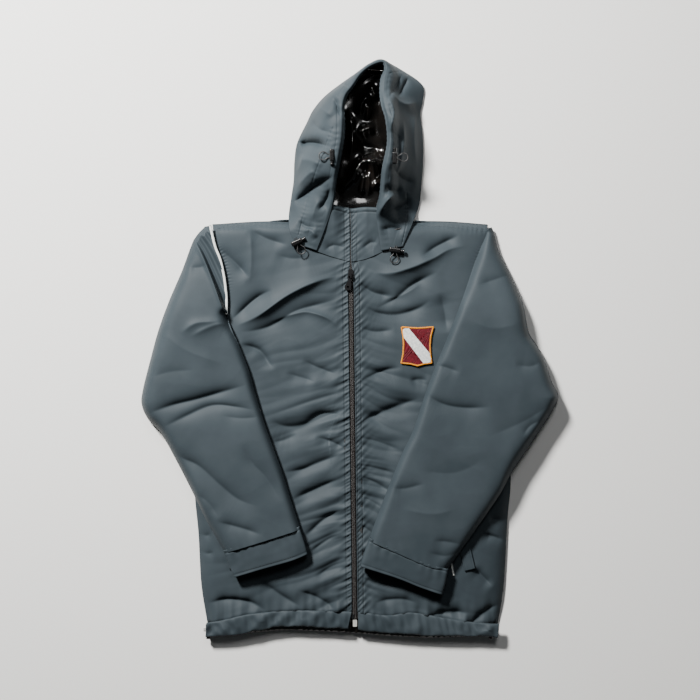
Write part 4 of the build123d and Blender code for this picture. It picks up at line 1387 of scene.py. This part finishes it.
def badge(trees):
    """The field, its raised border and the band across it."""
    corners = np.array(BADGE_EDGE + BADGE_EDGE[:1], float)
    edge = np.vstack([np.linspace(a, b, 12, endpoint=False) for a, b in zip(corners[:-1], corners[1:])])
    middle = np.array([124.5, 8.0])
    rings = [middle + (edge - middle) * k for k in np.linspace(0.02, 0.985, 24)]
    grid = np.array([drop(r, trees, 1.5) for r in rings])
    middle_z = np.median(grid[..., 2])
    grid[..., 2] = middle_z + (grid[..., 2] - middle_z) * 0.6 + 0.6
    grid[..., 2] += 0.25 * np.cos(grid[..., 0] * 5.0)
    field = cloth("badge_field", grid[::-1], 1.4, "badge", wrap=True)
    band_xy = patch(
        [(99.5, 23), (136, -25)], [(109, 40), (149, -8)], [(99.5, 23), (98.5, 38), (109, 40)],
        [(136, -25), (149, -22.5), (149, -8)], 20, 50,
    )
    flat = drop(band_xy.reshape(-1, 2), [tree(field)], 0.7).reshape(20, 50, 3)
    along = flat[..., 0] * 0.6 - flat[..., 1] * 0.8
    flat[..., 2] += 0.25 * np.cos(along * 4.2)
    band = cloth("badge_band", flat, 0.9, "badge_white")
    path = drop(np.vstack([edge, edge[:1]]), trees, 1.6)
    path[:, 2] = middle_z + (path[:, 2] - middle_z) * 0.6 + 1.7
    run = run_along(path)
    at = np.linspace(0, run[-1], 900)
    dense = np.column_stack([np.interp(at, run, path[:, k]) for k in range(3)])
    ripple = 1 + 0.10 * np.cos(at * 2 * np.pi / 1.1)
    border = joined("badge_border", [tube(dense, 1.6 * ripple, 1.0 * ripple, 8)], "badge_gold")
    for obj in (field, band, border):
        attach(obj, "torso")
    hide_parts("badge")


def pocket_flaps(trees):
    """The welt that covers each pocket's opening."""
    parts, grids = [], []
    for a, b in (((-175, -244), (-214, -407)), ((183, -244), (222, -407))):
        a, b = np.array(a, float), np.array(b, float)
        along = (b - a) / np.linalg.norm(b - a)
        out = np.array([-along[1], along[0]])
        u, v = np.meshgrid(np.linspace(0, 1, 90), np.linspace(-10, 10, 16), indexing="ij")
        xy = a + (b - a) * u[..., None] + out * v[..., None]
        grid = drop(xy.reshape(-1, 2), trees, 1.7).reshape(90, 16, 3)
        row_z = grid[..., 2].mean(1, keepdims=True)
        grid[..., 2] = row_z + 0.5 * (grid[..., 2] - row_z) + 0.35 * noise(grid[..., 0], grid[..., 1], 14, 3)
        grid[..., 2] += 0.4 - 0.5 * np.exp(-(((np.abs(v) - 7.5) / 1.0) ** 2))
        grids.append(grid)
        parts.append(closed_shell(grid, 1.3))
    obj = joined("pocket_flaps_cloth", parts, "shell")
    stand_in(obj, "torso", "pocket_flaps")
    declare(obj, grids, "laid")


def pocket_piping(tree_left):
    """The pale end of the piping below the wearer's left cuff."""
    path = drop(spline([(187.5, -392), (189.5, -404), (192, -417)], 14), [tree_left], 1.0)
    obj = joined("pocket_piping_end", [tube(path, 1.7, 1.2, 8)], "piping")
    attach(obj, "torso")


# Rows of stitching beside the zip: the side, and how far they are from the edge of the front
ZIP_ROWS = [("right", 9.5), ("left", 3.0), ("left", 11.5)]
HEM_ROW_END = {"right": (-6, -486), "left": (24, -488)}


def sewing(trees, collar_trees, cuff_objects):
    """Rows of topstitching on the body, the collar and the cuffs."""
    rows = [zip_line(side, -484, 158, offset) for side, offset in ZIP_ROWS]
    rows += [shift(HEM_LINE[side][:-1] + [HEM_ROW_END[side]], 0, 2.0) for side in SIDES]
    rows += [[(-250, 224), (-228, 229), (-192, 232.5), (-110, 233)], [(250, 220), (180, 229), (110, 231)]]
    obj = stitches("stitches_body", rows, trees)
    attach(obj, "torso")
    rows = [zip_line(side, 168, 250, offset) for side, offset in ZIP_ROWS]
    rows += [[(-26, 259), (-14, 256), (-3, 252)], [(49, 254), (26, 255), (4, 253)]]
    obj = stitches("stitches_collar", rows, collar_trees)
    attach(obj, "torso")
    for side, cuff_obj in cuff_objects.items():
        seam, mouth = (spline(line, 8)[1:-1] for line in CUFF[side])
        row = seam + (mouth - seam) * 0.86
        obj = stitches(f"stitches_cuff_{side}", [row], [tree(cuff_obj)])
        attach(obj, f"sleeve_{side}")


# Each lock's centre, the heading of its loop in degrees, and the body it is on
LOCKS = {
    "face_right": ((-32.5, 351.5, 78.0), 180, "hood"),
    "face_left": ((81.0, 348.7, 78.0), 0, "hood"),
    "neck_right": ((-97.0, 199.0, 33.0), 296, "torso"),
    "neck_left": ((84.0, 184.0, 33.0), 262, "torso"),
    "hem_right": ((-264.0, -521.0, 12.5), 0, "torso"),
    "hem_left": ((262.0, -521.0, 12.5), 180, "torso"),
}
# A lock's loop, along and across the way out of its slot
LOOP = [
    (-3.5, 1.7), (12, 1.6), (19, 8.5), (28.5, 5.5), (28.5, -5.5), (19, -8.5), (12, -1.6), (-3.5, -1.7),
]
# In metres
CORD_D = 0.002


def lock_cord(name):
    """The elastic's loop beside a lock: out of one side of the slot, round, and back in."""
    centre, angle, body = LOCKS[name]
    c, s = math.cos(math.radians(angle)), math.sin(math.radians(angle))
    curve = bpy.data.curves.new(f"lock_cord_{name}", "CURVE")
    curve.dimensions = "3D"
    line = curve.splines.new("NURBS")
    line.points.add(len(LOOP) - 1)
    first = None
    for point, (along, across) in zip(line.points, LOOP):
        out = along - 5
        x, y = centre[0] + c * out - s * across, centre[1] + s * out + c * across
        place = [x * MM, y * MM, centre[2] * MM]
        first = first or place
        point.co = (*place, 1)
    line.order_u = 3
    line.use_endpoint_u = True
    line.resolution_u = 12
    curve.bevel_depth = CORD_D / 2
    curve.bevel_resolution = 4
    curve.use_fill_caps = True
    curve.materials.append(MATERIALS["cord"])
    obj = bpy.data.objects.new(f"lock_cord_{name}_elastic", curve)
    bpy.context.scene.collection.objects.link(obj)
    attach(obj, body)
    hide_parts(f"lock_cord_{name}")
    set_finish(obj, "cord")


def finish_cad(name, material):
    """A CAD piece shown as it is, in its own finish."""
    obj = frame["nodes"][name]
    obj.data.materials.clear()
    obj.data.materials.append(MATERIALS[material])
    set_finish(obj, material)


# ---------------------------------------------------------------- the jacket

camera()
world((0.93, 0.97, 1.0), 0.035)
area_light("key", (-1.3, 1.75, 1.8), (0, 0, 0), 0.45, 268, (1.0, 0.985, 0.96))
area_light("softbox", (0.35, 1.45, 2.2), (0, 0.3, 0), 0.9, 16, (1.0, 1.0, 1.0))

floor_mesh = bpy.data.meshes.new("floor")
floor_mesh.from_pydata([(-4, -4, 0), (4, -4, 0), (4, 4, 0), (-4, 4, 0)], [], [(0, 1, 2, 3)])
floor_mesh.materials.append(plain("floor", (230, 230, 228), 0.9))
floor = bpy.data.objects.new("floor", floor_mesh)
bpy.context.scene.collection.objects.link(floor)

for cord_name in LOCKS:
    lock_cord(cord_name)

back_panel()
back_yoke()
back_lining()
pocket_bags()
fronts = {}
for side in SIDES:
    fronts[side] = front_panel(side)
    front_lining(side)
    zip_tape(side)
    zip_coil(side)
front_trees = [tree(fronts[side][0]) for side in SIDES]
hem_casing()
hem_drawcord()
for side in SIDES:
    declare(*fronts[side], "laid", rests_on=["back_lining_cloth"])

cuffs = {}
for side, s in SIDES.items():
    for obj, grid in sleeve(side):
        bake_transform(obj)
        declare(obj, grid, "laid", ["front_panel_" + side + "_cloth"], wrap="lining" in obj.name)
    obj, grid = cuff(side)
    cuffs[side] = obj
    declare(obj, grid, "folded", ["front_panel_" + side + "_cloth"], wrap=True)

collars = [collar(side) for side in SIDES]
collar_back()
hanger_loop()
neck_drawcord()
hood_pieces, hood_grid = hood_shell()
for obj, grid in hood_pieces:
    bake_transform(obj)
    declare(obj, grid, "gathered")
hood_brim(hood_grid)
hood_lining()
hood_back()

piping()
badge([front_trees[1]])
pocket_flaps(front_trees)
pocket_piping(front_trees[1])
sewing(front_trees, [tree(c) for c in collars], cuffs)

for name in LOCKS:
    finish_cad(f"cord_lock_{name}", "lock")
    finish_cad(f"plunger_{name}", "lock")
for name in ("zip_slider", "zip_pull", "zip_top_stops", "zip_insertion_pin"):
    finish_cad(name, "zip_metal")
finish_cad("zip_bottom_box", "zip_box")

print("FLAT", json.dumps(FLAT_SIZES))
